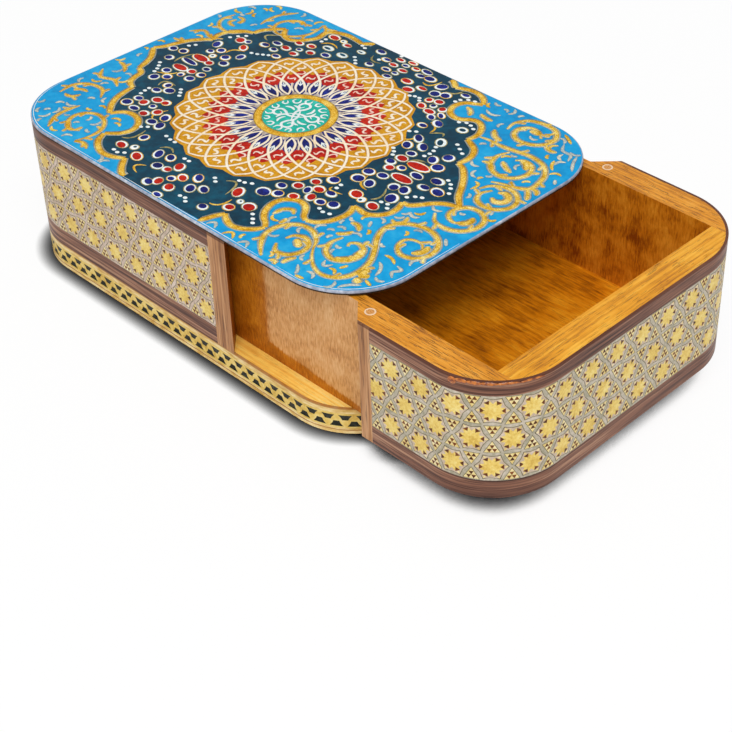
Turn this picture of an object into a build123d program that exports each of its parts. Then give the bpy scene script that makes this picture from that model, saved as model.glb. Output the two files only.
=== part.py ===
"""Inlaid card box: two rounded plates, a U of low walls between them, and a drawer whose thick head
closes the open front. The head's sides are rebated behind a 45 degree shoulder, which shuts against
the mitred ends of the case walls. All lengths are millimetres. The origin is the centre of the base's
underside, the drawer opens along +X, and +Z is up. The drawer is modelled part open.
"""
import os

from build123d import *

# Outline shared by the base, the walls, the drawer head and the painted top
box_length = 156.0
box_width = 110.0
corner_radius = 23.0

# Heights, from the table up
base_thickness = 9.0
wall_height = 39.5
top_thickness = 1.5

# Boards of the case, measured over their facing
case_side_thickness = 6.3
case_back_thickness = 12.0

# Boards of the drawer, measured over their facing where they have one
drawer_side_thickness = 10.0
drawer_front_thickness = 10.0
drawer_back_thickness = 5.0
drawer_floor_thickness = 3.0
floor_rebate = 1.6
head_length = 50.5

# Facing glued round the walls and round the drawer head
facing_thickness = 0.8
lower_band_height = 6.0
khatam_height = 28.5
case_end_strip_width = 7.3
drawer_end_strip_width = 4.2

# Inlaid lines round the edge of the base
base_lower_line_height = 2.0
base_upper_line_height = 1.8

# Pegs let into the top of the drawer sides, just ahead of the shoulders
peg_diameter = 3.2
peg_length = 12.0
peg_from_outside = 5.6
peg_ahead_of_shoulder = 4.7

# Rounded rim of the painted top
top_rim_round = 0.5

# Running room of the drawer, and how far it stands open
slide_clearance = 0.3
lift_clearance = 0.5
back_clearance = 0.4
mitre_clearance = 0.2
peg_clearance = 0.02
drawer_opening = 53.0

# Cuts run past the faces that they open
overrun = 5.0

# Places that follow from the sizes above
half_length = box_length / 2
half_width = box_width / 2
wall_top = base_thickness + wall_height
wall_end = half_length - head_length
shoulder_end = wall_end + mitre_clearance
rebate_depth = case_side_thickness + slide_clearance
head_height = wall_height - lift_clearance
head_top = base_thickness + head_height
head_upper_band_height = head_height - lower_band_height - khatam_height
case_upper_band_height = wall_height - lower_band_height - khatam_height
khatam_bottom = base_thickness + lower_band_height
khatam_top = khatam_bottom + khatam_height
base_band_height = base_thickness - base_lower_line_height - base_upper_line_height
drawer_rear = -half_length + case_back_thickness + back_clearance
tray_rear = drawer_rear + drawer_back_thickness
tray_front = half_length - drawer_front_thickness
tray_half_width = half_width - drawer_side_thickness


def case_plane(height):
    """Plan plane of the fixed case at a height above the table."""
    return Plane((0, 0, height))


def drawer_plane(height):
    """Plan plane of the drawer: its sketches are drawn shut, and stand open by the opening."""
    return Plane((drawer_opening, 0, height))


def outline(inset=0, mode=Mode.ADD):
    """The rounded plan outline, drawn in from the outer faces by inset."""
    RectangleRounded(box_length - 2 * inset, box_width - 2 * inset, corner_radius - inset, mode=mode)


def strip(x_from, x_to, y_from, y_to, mode=Mode.ADD):
    """A rectangle of the plan between two x values and two y values."""
    with Locations(((x_from + x_to) / 2, (y_from + y_to) / 2)):
        Rectangle(x_to - x_from, y_to - y_from, mode=mode)


def behind_mitre(end, mode=Mode.INTERSECT):
    """All the plan behind the two 45 degree lines that start on the outer faces at x = end."""
    back = -half_length - overrun
    side = half_width + overrun
    Polygon((back, -side), (end + overrun, -side), (end - half_width, 0), (end + overrun, side), (back, side),
            align=None, mode=mode)


def ahead_of_mitre(end, mode=Mode.INTERSECT):
    """All the plan ahead of the two 45 degree lines that start on the outer faces at x = end."""
    front = half_length + overrun
    side = half_width + overrun
    Polygon((front, -side), (front, side), (end + overrun, side), (end - half_width, 0), (end + overrun, -side),
            align=None, mode=mode)


def facing_ring():
    """Plan of the facing all the way round, one facing thickness wide."""
    outline()
    outline(facing_thickness, mode=Mode.SUBTRACT)


def side_span(side, inner, outer):
    """The y range, in order, between two distances in from the outer face of one side (-1 or +1)."""
    ends = (side * (half_width - inner), side * (half_width - outer))
    return min(ends), max(ends)


def finish(builder, name):
    """Name a finished piece and write it out."""
    builder.part.label = name
    export_step(builder.part, f"parts/{name}.step")
    print(f"{name}: {builder.part.volume:.0f} mm3")


os.makedirs("parts", exist_ok=True)

# Base: a board whose edge carries a dark inlaid band between two light lines
with BuildPart() as base_plate:
    with BuildSketch(case_plane(0)):
        outline(facing_thickness)
    extrude(amount=base_thickness)
finish(base_plate, "base_plate")

base_edge_layers = (
    ("base_edge_lower_line", 0, base_lower_line_height),
    ("base_edge_inlay_band", base_lower_line_height, base_band_height),
    ("base_edge_upper_line", base_lower_line_height + base_band_height, base_upper_line_height),
)
for layer_name, layer_bottom, layer_height in base_edge_layers:
    with BuildPart() as base_edge_layer:
        with BuildSketch(case_plane(layer_bottom)):
            facing_ring()
        extrude(amount=layer_height)
    finish(base_edge_layer, layer_name)

# Case walls: two sides that run through to the back, with mitred front ends, and a back between them
sides = (("left", -1), ("right", 1))
for side_name, side in sides:
    near, far = side_span(side, facing_thickness, case_side_thickness)
    with BuildPart() as case_wall:
        with BuildSketch(case_plane(base_thickness)):
            outline(facing_thickness)
            strip(-half_length, half_length, near, far, mode=Mode.INTERSECT)
            behind_mitre(wall_end)
        extrude(amount=wall_height)
    finish(case_wall, f"case_{side_name}_wall")

with BuildPart() as case_back_wall:
    with BuildSketch(case_plane(base_thickness)):
        outline(facing_thickness)
        strip(-half_length, -half_length + case_back_thickness,
              -half_width + case_side_thickness, half_width - case_side_thickness, mode=Mode.INTERSECT)
    extrude(amount=wall_height)
finish(case_back_wall, "case_back_wall")

# Facing of the case: three bands wrapped round the sides and back, stopped by an upright end strip
case_bands = (
    ("case_lower_band", base_thickness, lower_band_height),
    ("case_khatam_panel", khatam_bottom, khatam_height),
    ("case_upper_band", khatam_top, case_upper_band_height),
)
case_strip_start = wall_end - case_end_strip_width
for band_name, band_bottom, band_height in case_bands:
    with BuildPart() as case_band:
        with BuildSketch(case_plane(band_bottom)):
            facing_ring()
            strip(-half_length - overrun, case_strip_start,
                  -half_width - overrun, half_width + overrun, mode=Mode.INTERSECT)
        extrude(amount=band_height)
    finish(case_band, band_name)

for side_name, side in sides:
    near, far = side_span(side, 0, facing_thickness)
    with BuildPart() as case_end_strip:
        with BuildSketch(case_plane(base_thickness)):
            strip(case_strip_start, wall_end, near, far)
            behind_mitre(wall_end)
        extrude(amount=wall_height)
    finish(case_end_strip, f"case_{side_name}_end_strip")

# Painted top: a thin plate with a softened upper rim
with BuildPart() as painted_top:
    with BuildSketch(case_plane(wall_top)):
        outline()
    extrude(amount=top_thickness)
    fillet(painted_top.faces().sort_by(Axis.Z)[-1].edges(), top_rim_round)
finish(painted_top, "painted_top")

# Drawer sides: thick at the head, rebated behind the 45 degree shoulder to slip inside the case walls
for side_name, side in sides:
    head_span = side_span(side, facing_thickness, drawer_side_thickness)
    tail_span = side_span(side, rebate_depth, drawer_side_thickness)
    floor_span = side_span(side, drawer_side_thickness - floor_rebate, drawer_side_thickness)
    peg_place = (shoulder_end - peg_from_outside + peg_ahead_of_shoulder, side * (half_width - peg_from_outside))
    with BuildPart() as drawer_side:
        with BuildSketch(drawer_plane(base_thickness)):
            outline(facing_thickness)
            strip(-half_length, half_length, *head_span, mode=Mode.INTERSECT)
            ahead_of_mitre(shoulder_end)
            strip(drawer_rear, tray_front, *tail_span)
        extrude(amount=head_height)
        with BuildSketch(drawer_plane(base_thickness)):
            strip(tray_rear - floor_rebate, tray_front + floor_rebate, *floor_span)
        extrude(amount=drawer_floor_thickness, mode=Mode.SUBTRACT)
        with Locations(drawer_plane(head_top)):
            with Locations(peg_place):
                Hole(peg_diameter / 2 + peg_clearance, depth=peg_length)
    finish(drawer_side, f"drawer_{side_name}_side")

    with BuildPart() as drawer_peg:
        with BuildSketch(drawer_plane(head_top)):
            with Locations(peg_place):
                Circle(peg_diameter / 2)
        extrude(amount=-peg_length)
    finish(drawer_peg, f"drawer_{side_name}_peg")

# Drawer front and back, butted between the sides and rebated for the floor
with BuildPart() as drawer_front:
    with BuildSketch(drawer_plane(base_thickness)):
        outline(facing_thickness)
        strip(tray_front, half_length, -tray_half_width, tray_half_width, mode=Mode.INTERSECT)
    extrude(amount=head_height)
    with BuildSketch(drawer_plane(base_thickness)):
        strip(tray_front, tray_front + floor_rebate, -tray_half_width, tray_half_width)
    extrude(amount=drawer_floor_thickness, mode=Mode.SUBTRACT)
finish(drawer_front, "drawer_front")

with BuildPart() as drawer_back:
    with BuildSketch(drawer_plane(base_thickness)):
        strip(drawer_rear, tray_rear, -tray_half_width, tray_half_width)
    extrude(amount=head_height)
    with BuildSketch(drawer_plane(base_thickness)):
        strip(tray_rear - floor_rebate, tray_rear, -tray_half_width, tray_half_width)
    extrude(amount=drawer_floor_thickness, mode=Mode.SUBTRACT)
finish(drawer_back, "drawer_back")

# Drawer floor: a thin board let up into the rebate all round
with BuildPart() as drawer_floor:
    with BuildSketch(drawer_plane(base_thickness)):
        strip(tray_rear - floor_rebate, tray_front + floor_rebate,
              -tray_half_width - floor_rebate, tray_half_width + floor_rebate)
    extrude(amount=drawer_floor_thickness)
finish(drawer_floor, "drawer_floor")

# Facing of the drawer head, in line with the case's when the drawer is shut
drawer_bands = (
    ("drawer_lower_band", base_thickness, lower_band_height),
    ("drawer_khatam_panel", khatam_bottom, khatam_height),
    ("drawer_upper_band", khatam_top, head_upper_band_height),
)
drawer_strip_end = shoulder_end + drawer_end_strip_width
for band_name, band_bottom, band_height in drawer_bands:
    with BuildPart() as drawer_band:
        with BuildSketch(drawer_plane(band_bottom)):
            facing_ring()
            strip(drawer_strip_end, half_length + overrun,
                  -half_width - overrun, half_width + overrun, mode=Mode.INTERSECT)
        extrude(amount=band_height)
    finish(drawer_band, band_name)

for side_name, side in sides:
    near, far = side_span(side, 0, facing_thickness)
    with BuildPart() as drawer_end_strip:
        with BuildSketch(drawer_plane(base_thickness)):
            strip(shoulder_end - facing_thickness, drawer_strip_end, near, far)
            ahead_of_mitre(shoulder_end)
        extrude(amount=head_height)
    finish(drawer_end_strip, f"drawer_{side_name}_end_strip")
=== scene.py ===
# %% [markdown]
# # An inlaid card box with a sliding drawer
# The box is a sandwich: a base board, a U of low walls and a thin painted top. A drawer slides out
# between the two boards, and its thick head closes the open front. The CAD part gives every board and
# facing its place. This script gives them their finishes, lays the marquetry tile by tile, and paints
# the top. Lengths in this script are millimetres until the moment a mesh is made.

import math
import random

import bmesh
import bpy
from mathutils import Matrix, Vector


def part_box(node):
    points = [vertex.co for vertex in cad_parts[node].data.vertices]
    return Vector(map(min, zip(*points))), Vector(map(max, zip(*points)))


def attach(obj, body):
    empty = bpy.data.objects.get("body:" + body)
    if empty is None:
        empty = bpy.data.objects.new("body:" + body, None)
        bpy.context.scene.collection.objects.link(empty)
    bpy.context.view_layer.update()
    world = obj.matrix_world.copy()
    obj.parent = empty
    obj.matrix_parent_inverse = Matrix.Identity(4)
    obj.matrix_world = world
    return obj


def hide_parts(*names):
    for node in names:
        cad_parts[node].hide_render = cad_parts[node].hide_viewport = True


MM = 0.001
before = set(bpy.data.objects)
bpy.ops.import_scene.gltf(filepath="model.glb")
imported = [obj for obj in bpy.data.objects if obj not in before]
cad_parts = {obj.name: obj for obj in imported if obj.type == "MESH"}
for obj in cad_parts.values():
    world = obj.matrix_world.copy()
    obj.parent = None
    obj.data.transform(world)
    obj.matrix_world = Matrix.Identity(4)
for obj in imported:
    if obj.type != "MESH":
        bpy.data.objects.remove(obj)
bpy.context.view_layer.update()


def in_mm(box):
    """The two corners of a box, in millimetres."""
    return [[round(c / MM, 2) for c in corner] for corner in box]


# %% [markdown]
# ## The camera
# A product photograph is taken with a long lens from a little above. The camera below was fitted to the
# corners of the box in the photograph: where it stands, how far away, and how far the picture's centre
# lies off the lens's axis, which Blender calls shift.

# %% The camera stands where the photographer stood
camera_aim = Vector((79.54, -19.39, 25.0)) * MM
camera_azimuth = math.radians(43.33)
camera_elevation = math.radians(37.24)
camera_distance = 483.6 * MM


def put(name, data):
    """A new object in the scene, made from its data."""
    made = bpy.data.objects.new(name, data)
    bpy.context.scene.collection.objects.link(made)
    return made


def stand(made, place, facing):
    """Stand a camera or a lamp at a place, turned the way it faces."""
    made.location = place
    made.rotation_mode = "QUATERNION"
    made.rotation_quaternion = facing.to_track_quat("-Z", "Y")


camera_back = Vector((
    math.sin(camera_azimuth) * math.cos(camera_elevation),
    -math.cos(camera_azimuth) * math.cos(camera_elevation),
    math.sin(camera_elevation),
))
camera_data = bpy.data.cameras.new("product_camera")
camera_data.sensor_width = 36.0
camera_data.lens = 84.48
camera_data.shift_x = -0.1117
camera_data.shift_y = -0.0483
camera = put("product_camera", camera_data)
stand(camera, camera_aim + camera_back * camera_distance, -camera_back)
bpy.context.scene.camera = camera
print("camera at", [round(c / MM, 1) for c in camera.location])

# %% [markdown]
# ## Nodes as Python sums
# A finish is a small network of nodes. Wiring them one by one is long to read, so two small classes do
# it: a Value is one socket, and adding or multiplying Values makes Math nodes. A Graph makes any other
# node from its type, its settings and what goes into its sockets. The same pair serves materials and
# Geometry Nodes.


# %% Values and graphs
class Value:
    """One output socket of a graph. Operators on it add Math nodes."""

    def __init__(self, graph, socket):
        self.graph = graph
        self.socket = socket

    def math(self, operation, first, second=0.0):
        """One Math node."""
        return self.graph.node("ShaderNodeMath", {"operation": operation}, {0: first, 1: second})

    def __add__(self, other):
        return self.math("ADD", self, other)

    def __radd__(self, other):
        return self.math("ADD", other, self)

    def __sub__(self, other):
        return self.math("SUBTRACT", self, other)

    def __rsub__(self, other):
        return self.math("SUBTRACT", other, self)

    def __mul__(self, other):
        return self.math("MULTIPLY", self, other)

    def __rmul__(self, other):
        return self.math("MULTIPLY", other, self)

    def __truediv__(self, other):
        return self.math("DIVIDE", self, other)

    def __rtruediv__(self, other):
        return self.math("DIVIDE", other, self)

    def __mod__(self, other):
        return self.math("FLOORED_MODULO", self, other)

    def __gt__(self, other):
        return self.math("GREATER_THAN", self, other)

    def __lt__(self, other):
        return self.math("LESS_THAN", self, other)

    def __abs__(self):
        return self.math("ABSOLUTE", self)

    def floor(self):
        return self.math("FLOOR", self)

    def root(self):
        return self.math("SQRT", self)

    def either(self, other):
        """The larger of two values."""
        return self.math("MAXIMUM", self, other)


class Graph:
    """A node tree, for a material or for Geometry Nodes."""

    def __init__(self, tree):
        self.tree = tree

    def node(self, kind, settings, sockets, output=0):
        """Any node: its settings first, then values or links for its sockets, and one output as a Value."""
        made = self.tree.nodes.new(kind)
        for name, setting in settings.items():
            if name == "stops":
                self.set_stops(made.color_ramp, setting)
            else:
                setattr(made, name, setting)
        for key, value in sockets.items():
            self.feed(self.find(made.inputs, key), value)
        return Value(self, self.find(made.outputs, output)) if made.outputs else None

    @staticmethod
    def find(sockets, key):
        """A socket by its number, its identifier or its name."""
        if isinstance(key, int):
            return sockets[key]
        for socket in sockets:
            if socket.identifier == key:
                return socket
        return sockets[key]

    @staticmethod
    def set_stops(ramp, stops):
        """Set the places and colours of a ramp."""
        while len(ramp.elements) < len(stops):
            ramp.elements.new(1.0)
        for element, (place, colour) in zip(ramp.elements, stops):
            element.position = place
            element.color = colour

    def feed(self, socket, value):
        """Link a Value to a socket, or set the socket's own number or colour."""
        if isinstance(value, Value):
            self.tree.links.new(value.socket, socket)
        else:
            socket.default_value = value


print("graphs ready")

# %% [markdown]
# ## What every finish needs
# Colours are written as the eye and the screen know them, and turned into the linear numbers that a
# renderer works in. A Finish is a material round one Principled shader, with short methods for the few
# things that wood, lacquer and paint are made of here: stretched noise, a ramp of colours, a mix of two
# colours, and a bump. Noise is laid on Object coordinates, counted in millimetres, so that a finish has
# its true scale and stays put when the drawer moves.


# %% Colours and finishes
def colour(code):
    """Linear RGBA of a colour written as #RRGGBB."""
    parts = [int(code[place:place + 2], 16) / 255 for place in (1, 3, 5)]
    linear = [p / 12.92 if p <= 0.04045 else ((p + 0.055) / 1.055) ** 2.4 for p in parts]
    return (*linear, 1.0)


def tones(dark, middle, light, low=0.34, high=0.66):
    """Three stops for a ramp of colours, from a low place on it to a high one."""
    return (low, dark), (0.5, middle), (high, light)


def clear_coat(weight, rough, shine=0.15):
    """Constants of a thin clear coat, and the shine of what lies under it."""
    return {"Coat Weight": weight, "Coat Roughness": rough, "Specular IOR Level": shine}


class Finish(Graph):
    """A material whose look comes from nodes."""

    def __init__(self, name, constants):
        self.material = bpy.data.materials.new(name)
        self.material.use_nodes = True
        super().__init__(self.material.node_tree)
        self.shader = self.tree.nodes["Principled BSDF"]
        for socket, value in constants.items():
            self.shader.inputs[socket].default_value = value

    def place(self, per_mm):
        """Object coordinates, scaled to so many units per millimetre along X, Y and Z."""
        where = self.node("ShaderNodeTexCoord", {}, {}, "Object")
        scale = [amount / MM for amount in per_mm]
        return self.node("ShaderNodeMapping", {}, {"Vector": where, "Scale": scale})

    def noise(self, where, detail=3.0, twist=0.0):
        """Soft noise about 0.5, finer with more detail, and twisted where asked."""
        sockets = {"Vector": where, "Scale": 1.0, "Detail": detail, "Roughness": 0.55, "Distortion": twist}
        return self.node("ShaderNodeTexNoise", {}, sockets, "Fac")

    def axis(self, letter):
        """One Object coordinate in millimetres."""
        where = self.node("ShaderNodeTexCoord", {}, {}, "Object")
        return self.node("ShaderNodeSeparateXYZ", {}, {0: where}, letter) / MM

    def facing(self, letter):
        """One part of the direction that the surface faces."""
        facing = self.node("ShaderNodeNewGeometry", {}, {}, "Normal")
        return self.node("ShaderNodeSeparateXYZ", {}, {0: facing}, letter)

    def rise(self, value, low, high):
        """0 below low, 1 above high, and a smooth step between them."""
        settings = {"interpolation_type": "SMOOTHSTEP"}
        return self.node("ShaderNodeMapRange", settings, {"Value": value, "From Min": low, "From Max": high})

    def ramp(self, value, *stops):
        """A ramp of colours along a value, from stops of a place and a #RRGGBB colour."""
        stops = [(place, colour(code)) for place, code in stops]
        return self.node("ShaderNodeValToRGB", {"stops": stops}, {0: value}, "Color")

    def blend(self, amount, first, second):
        """A mix of two colours."""
        first, second = [colour(c) if isinstance(c, str) else c for c in (first, second)]
        sockets = {"Factor_Float": amount, "A_Color": first, "B_Color": second}
        return self.node("ShaderNodeMix", {"data_type": "RGBA"}, sockets, "Result_Color")

    def bump(self, height, depth):
        """Surface relief, depth being its height in millimetres."""
        return self.node("ShaderNodeBump", {}, {"Strength": 1.0, "Distance": depth * MM, "Height": height})

    def wear(self, **sockets):
        """Feed the shader's sockets and hand over the material."""
        for name, value in sockets.items():
            self.feed(self.shader.inputs[name.replace("_", " ")], value)
        return self.material


print("finishes ready")

# %% [markdown]
# ## Floor and light
# The box stands on a white sheet in soft light from all round, as in a light tent. An even white world
# does half of it. One large lamp, high up on the camera's side, does the rest: it reaches down into the
# drawer and throws the shadow back under the box. The sheet itself is shown almost pure white, with a
# painted shadow: it is dark only where the box stands close beside it or over it, a narrow dark line.


# %% White floor, white surround and one soft lamp
floor_reach, floor_level = 3000.0, -0.05
shadow_reaches = (6.0, 16.0)
shadow_fall = 5.0
shadow_edge = (0.34, 0.56)
glow_share = 0.9
surround_strength = 0.5
lamp_place, lamp_aim = Vector((460, -420, 1080)) * MM, Vector((30, 0, 20)) * MM
lamp_size, lamp_power = 700 * MM, 8.6


def looked_at(graph):
    """1 for rays that a viewer sees, straight or in a reflection; 0 for the light that falls on things."""
    kinds = ("Is Camera Ray", "Is Glossy Ray", "Is Transmission Ray")
    straight, mirrored, through = [graph.node("ShaderNodeLightPath", {}, {}, kind) for kind in kinds]
    return straight.either(mirrored).either(through)


def white_floor():
    """A white sheet, seen nearly pure white, with a painted shadow where something stands close over it."""
    sheet = Finish("white_sheet", {"Roughness": 0.9, "Specular IOR Level": 0.0})
    close, wide = [sheet.node("ShaderNodeAmbientOcclusion", {"samples": 32}, {"Distance": reach * MM}, "AO")
                   for reach in shadow_reaches]
    # Painted shadow: the sheet's colour darkens where the box stands close beside it or over it
    open_sky = close.math("POWER", close, shadow_fall) * sheet.rise(wide, *shadow_edge)
    shaded = sheet.ramp(open_sky, (0.0, "#000000"), (1.0, "#FFFFFF"))
    seen = looked_at(sheet)
    sheet.wear(Base_Color=sheet.blend(seen, "#FFFFFF", shaded))
    lit = Value(sheet, sheet.shader.outputs[0])
    glow = sheet.node("ShaderNodeEmission", {}, {"Color": shaded, "Strength": 1.0})
    surface = sheet.node("ShaderNodeMixShader", {}, {0: glow_share * seen, 1: lit, 2: glow})
    sheet.feed(sheet.tree.nodes["Material Output"].inputs["Surface"], surface)
    corners = [Vector((x * floor_reach, y * floor_reach, floor_level)) * MM
               for x, y in ((-1, -1), (1, -1), (1, 1), (-1, 1))]
    mesh = bpy.data.meshes.new("floor")
    mesh.from_pydata(corners, [], [(0, 1, 2, 3)])
    mesh.materials.append(sheet.material)
    put("floor", mesh)


def white_surround():
    """A white world: full white to look at, and weaker as a light."""
    world = bpy.data.worlds.new("white_surround")
    world.use_nodes = True
    sky = Graph(world.node_tree)
    seen = looked_at(sky)
    background = world.node_tree.nodes["Background"]
    background.inputs["Color"].default_value = (1, 1, 1, 1)
    sky.feed(background.inputs["Strength"], seen + (1 - seen) * surround_strength)
    bpy.context.scene.world = world


def soft_lamp():
    """One large round lamp, high up on the camera's side."""
    data = bpy.data.lights.new("lamp_above", "AREA")
    data.shape = "DISK"
    data.size = lamp_size
    data.energy = lamp_power
    stand(put("lamp_above", data), lamp_place, lamp_aim - lamp_place)


bpy.context.scene.view_settings.view_transform = "Standard"
white_floor()
white_surround()
soft_lamp()
print("stage set")

# %% [markdown]
# ## Beech
# The boards are varnished beech. Sawn along the grain, beech shows long fine lines with short dark
# dashes; on the broad faces, the rays across the grain show as small upright flecks. Each is one noise,
# stretched one way or the other. The face's direction decides which is seen, and the varnish adds a
# clear coat and a warm tone.


# %% Varnished beech
def beech(name, along, pale, middle, deep, mottled=0.4, dashed=0.8, pace=0.02):
    """Beech whose grain runs along "X" or "Y", from its palest to its deepest tone.

    mottled is the share of soft clouds in the tone, dashed the strength of the dark dashes, and pace how
    fast the tone changes along the grain, per millimetre. What comes back is the finish, its colour, and
    the two noises that the varnish follows.
    """
    wood = Finish(name, clear_coat(0.08, 0.15))
    lines = (pace, 1.1, 1.1) if along == "X" else (1.1, pace, 1.1)
    dashes = (0.24, 4.2, 4.2) if along == "X" else (4.2, 0.24, 4.2)
    flecks = (2.2, 2.2, 0.22)
    grain = wood.noise(wood.place(lines), detail=4.0, twist=0.3)
    dash = wood.rise(wood.noise(wood.place(dashes), detail=2.0), 0.58, 0.64)
    fleck = wood.rise(wood.noise(wood.place(flecks), detail=3.0), 0.50, 0.66)
    cloud = wood.noise(wood.place((0.07, 0.07, 0.07)), detail=4.0)
    level = wood.rise(abs(wood.facing("Z")), 0.4, 0.6)
    tone = (1 - mottled) * grain + mottled * cloud
    board = wood.ramp(tone, *tones(deep, middle, pale, low=0.32))
    board = wood.blend((1 - level) * fleck * 0.55, board, deep)
    board = wood.blend(dashed * level * dash, board, "#4C2606")
    return wood, board, grain, dash


def varnish(wood, board, grain, dash):
    """The clear coat over a board: gloss and a trace of open grain."""
    relief = wood.bump(0.6 * grain + 0.4 * dash, 0.05)
    return wood.wear(Base_Color=board, Roughness=0.3 + 0.25 * grain, Normal=relief)


print("beech and its varnish ready")

# %% The drawer's sides, and the other boards
inner_face = in_mm(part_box("drawer_right_side"))[0][1]
rebate_face = 48.4
face_slack = 0.1
run_from_end, run_from_below = (34.8, 37.4), (17.2, 18.4)
run_slope = 0.09


def rebated_side():
    """A drawer side. Its rebated outer face is dry and pale, with varnish run in from one end and below."""
    wood, board, grain, dash = beech("beech_side", "X", "#F4B048", "#DE9022", "#9A5610")
    across, along, height = abs(wood.axis("Y")), wood.axis("X"), wood.axis("Z")
    sideways = abs(wood.facing("Y")) > 0.5
    hair = wood.noise(wood.place((2.4, 0.5, 0.45)), detail=4.0)
    blotch = wood.noise(wood.place((0.12, 0.12, 0.12)), detail=3.0)
    dry = wood.ramp(0.6 * hair + 0.4 * blotch, *tones("#B0743A", "#D89C5C", "#E9B880"))
    wet = wood.ramp(0.5 * hair + 0.5 * blotch, *tones("#8C4A08", "#B86A12", "#D88A22"))
    ragged = 2.2 * (blotch - 0.5) + 1.6 * (hair - 0.5)
    from_end = 1 - wood.rise(along + ragged, *run_from_end)
    from_below = 1 - wood.rise(height + run_slope * along + ragged, *run_from_below)
    outside = (across > rebate_face - face_slack) * (across < rebate_face + face_slack) * sideways
    board = wood.blend(outside, board, wood.blend(from_end.either(from_below), dry, wet))
    inside = (across < inner_face + face_slack) * sideways
    soaked = tones("#8A4208", "#CE7C14", "#EC9E2C", low=0.36, high=0.64)
    board = wood.blend(inside, board, wood.ramp(0.4 * hair + 0.6 * blotch, *soaked))
    # The mitred shoulder face is painted dark brown: painted shade, where it stands in shadow
    shaded_shoulder = (wood.facing("X") < -0.5) * sideways
    board = wood.blend(shaded_shoulder, board, "#5C3010")
    return varnish(wood, board, grain, dash)


beech_side = rebated_side()
beech_front = varnish(*beech("beech_front", "Y", "#F8BC44", "#E69C22", "#B06812", dashed=0.5))
beech_floor = varnish(*beech("beech_floor", "X", "#F6A420", "#D8800C", "#7E3C04",
                             mottled=0.55, dashed=0.35, pace=0.14))
beech_case = varnish(*beech("beech_case", "X", "#B9792E", "#98591A", "#6A3A0C"))
beech_base = varnish(*beech("beech_base", "X", "#FFE690", "#FFD062", "#EAA23A", mottled=0.5, dashed=0.2))
print("beech boards ready, with the drawer's inner faces", inner_face, "mm from the middle")

# %% [markdown]
# ## Walnut and light lines
# The bands above and below the marquetry are walnut veneer, grey-brown with long streaks that follow the
# band round the corners. A noise that hardly changes across the table but fast upwards gives streaks
# that go round any corner by themselves. The upright end strips have the same wood on end, and the two
# light lines round the base are a pale wood.


# %% Walnut veneer
# Darker at the upper edge of the bands, between these two heights: a varnish stain on the drawer head, and
# painted shade under the top plate on the case
stain_and_shade_edge = (47.45, 47.7)


def walnut(name, streaks, stops):
    """Veneer whose streaks are long where the per-millimetre numbers are small."""
    wood = Finish(name, clear_coat(0.06, 0.2))
    fine = wood.noise(wood.place(streaks), detail=5.0, twist=0.4)
    broad = wood.noise(wood.place([amount * 0.35 for amount in streaks]), detail=2.0)
    tone = 0.6 * fine + 0.4 * broad
    pores = wood.rise(wood.noise(wood.place([amount * 2.2 for amount in streaks]), detail=2.0), 0.58, 0.68)
    board = wood.blend(0.7 * pores, wood.ramp(tone, *stops), "#35201A")
    # Painted shade under the plate on the case, and a varnish stain on the drawer head
    board = wood.blend(0.75 * wood.rise(wood.axis("Z"), *stain_and_shade_edge), board, "#54260C")
    return wood.wear(Base_Color=board, Roughness=0.38 + 0.15 * fine, Normal=wood.bump(fine, 0.04))


band_walnut = walnut("walnut_band", (0.03, 0.03, 1.3),
                     ((0.37, "#38241E"), (0.46, "#664438"), (0.54, "#8A5E4A"), (0.64, "#B68C70")))
strip_walnut = walnut("walnut_end_strip", (1.2, 1.2, 0.035), tones("#7E4E2C", "#BA8558", "#E0B286"))
print("walnut ready")

# %% Pale lines and pegs
low_glue, glue_fade = 1.25, (0.12, 0.24)
high_glue = (8.5, 8.75)
peg_low, peg_high = in_mm(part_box("drawer_right_peg"))
peg_x, peg_y = (peg_low[0] + peg_high[0]) / 2, (peg_low[1] + peg_high[1]) / 2
peg_ring = (1.05, 1.25)


def pale_line():
    """The two light lines of the base, each with a thin brown glue line."""
    wood = Finish("pale_line", clear_coat(0.08, 0.2))
    mottle = wood.noise(wood.place((0.25, 0.25, 0.8)), detail=3.0)
    board = wood.ramp(mottle, *tones("#CDA250", "#E6C47E", "#F2DCA4"))
    height = wood.axis("Z") + 0.5 * (mottle - 0.5)
    low_line = 1 - wood.rise(abs(height - low_glue), *glue_fade)
    high_line = wood.rise(height, *high_glue)
    board = wood.blend(0.75 * low_line.either(high_line), board, "#9C5A1C")
    return wood.wear(Base_Color=board, Roughness=0.35 + 0.15 * mottle)


def peg_end():
    """End grain of a round peg: wood in the middle and a pale ring of glue round it."""
    wood = Finish("peg_end_grain", clear_coat(0.08, 0.2))
    speck = wood.noise(wood.place((2.5, 2.5, 0.1)), detail=2.0)
    off_x, off_y = wood.axis("X") - peg_x, abs(wood.axis("Y")) - peg_y
    from_middle = (off_x * off_x + off_y * off_y).root()
    ring = wood.rise(from_middle + 0.5 * (speck - 0.5), *peg_ring)
    core = wood.ramp(speck, (0.35, "#C07A34"), (0.6, "#DDA05C"))
    return wood.wear(Base_Color=wood.blend(ring, core, "#EED0AE"), Roughness=0.4 + 0.1 * speck)


line_wood = pale_line()
peg_wood = peg_end()
print("lines ready, and pegs at", round(peg_x, 2), round(peg_y, 2))

# %% [markdown]
# ## Boards that keep their shape
# Most boards come out of the CAD part with their true shape, so they only need a finish. The rest of the
# script makes what the CAD part leaves plain: the marquetry and the painting.

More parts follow.
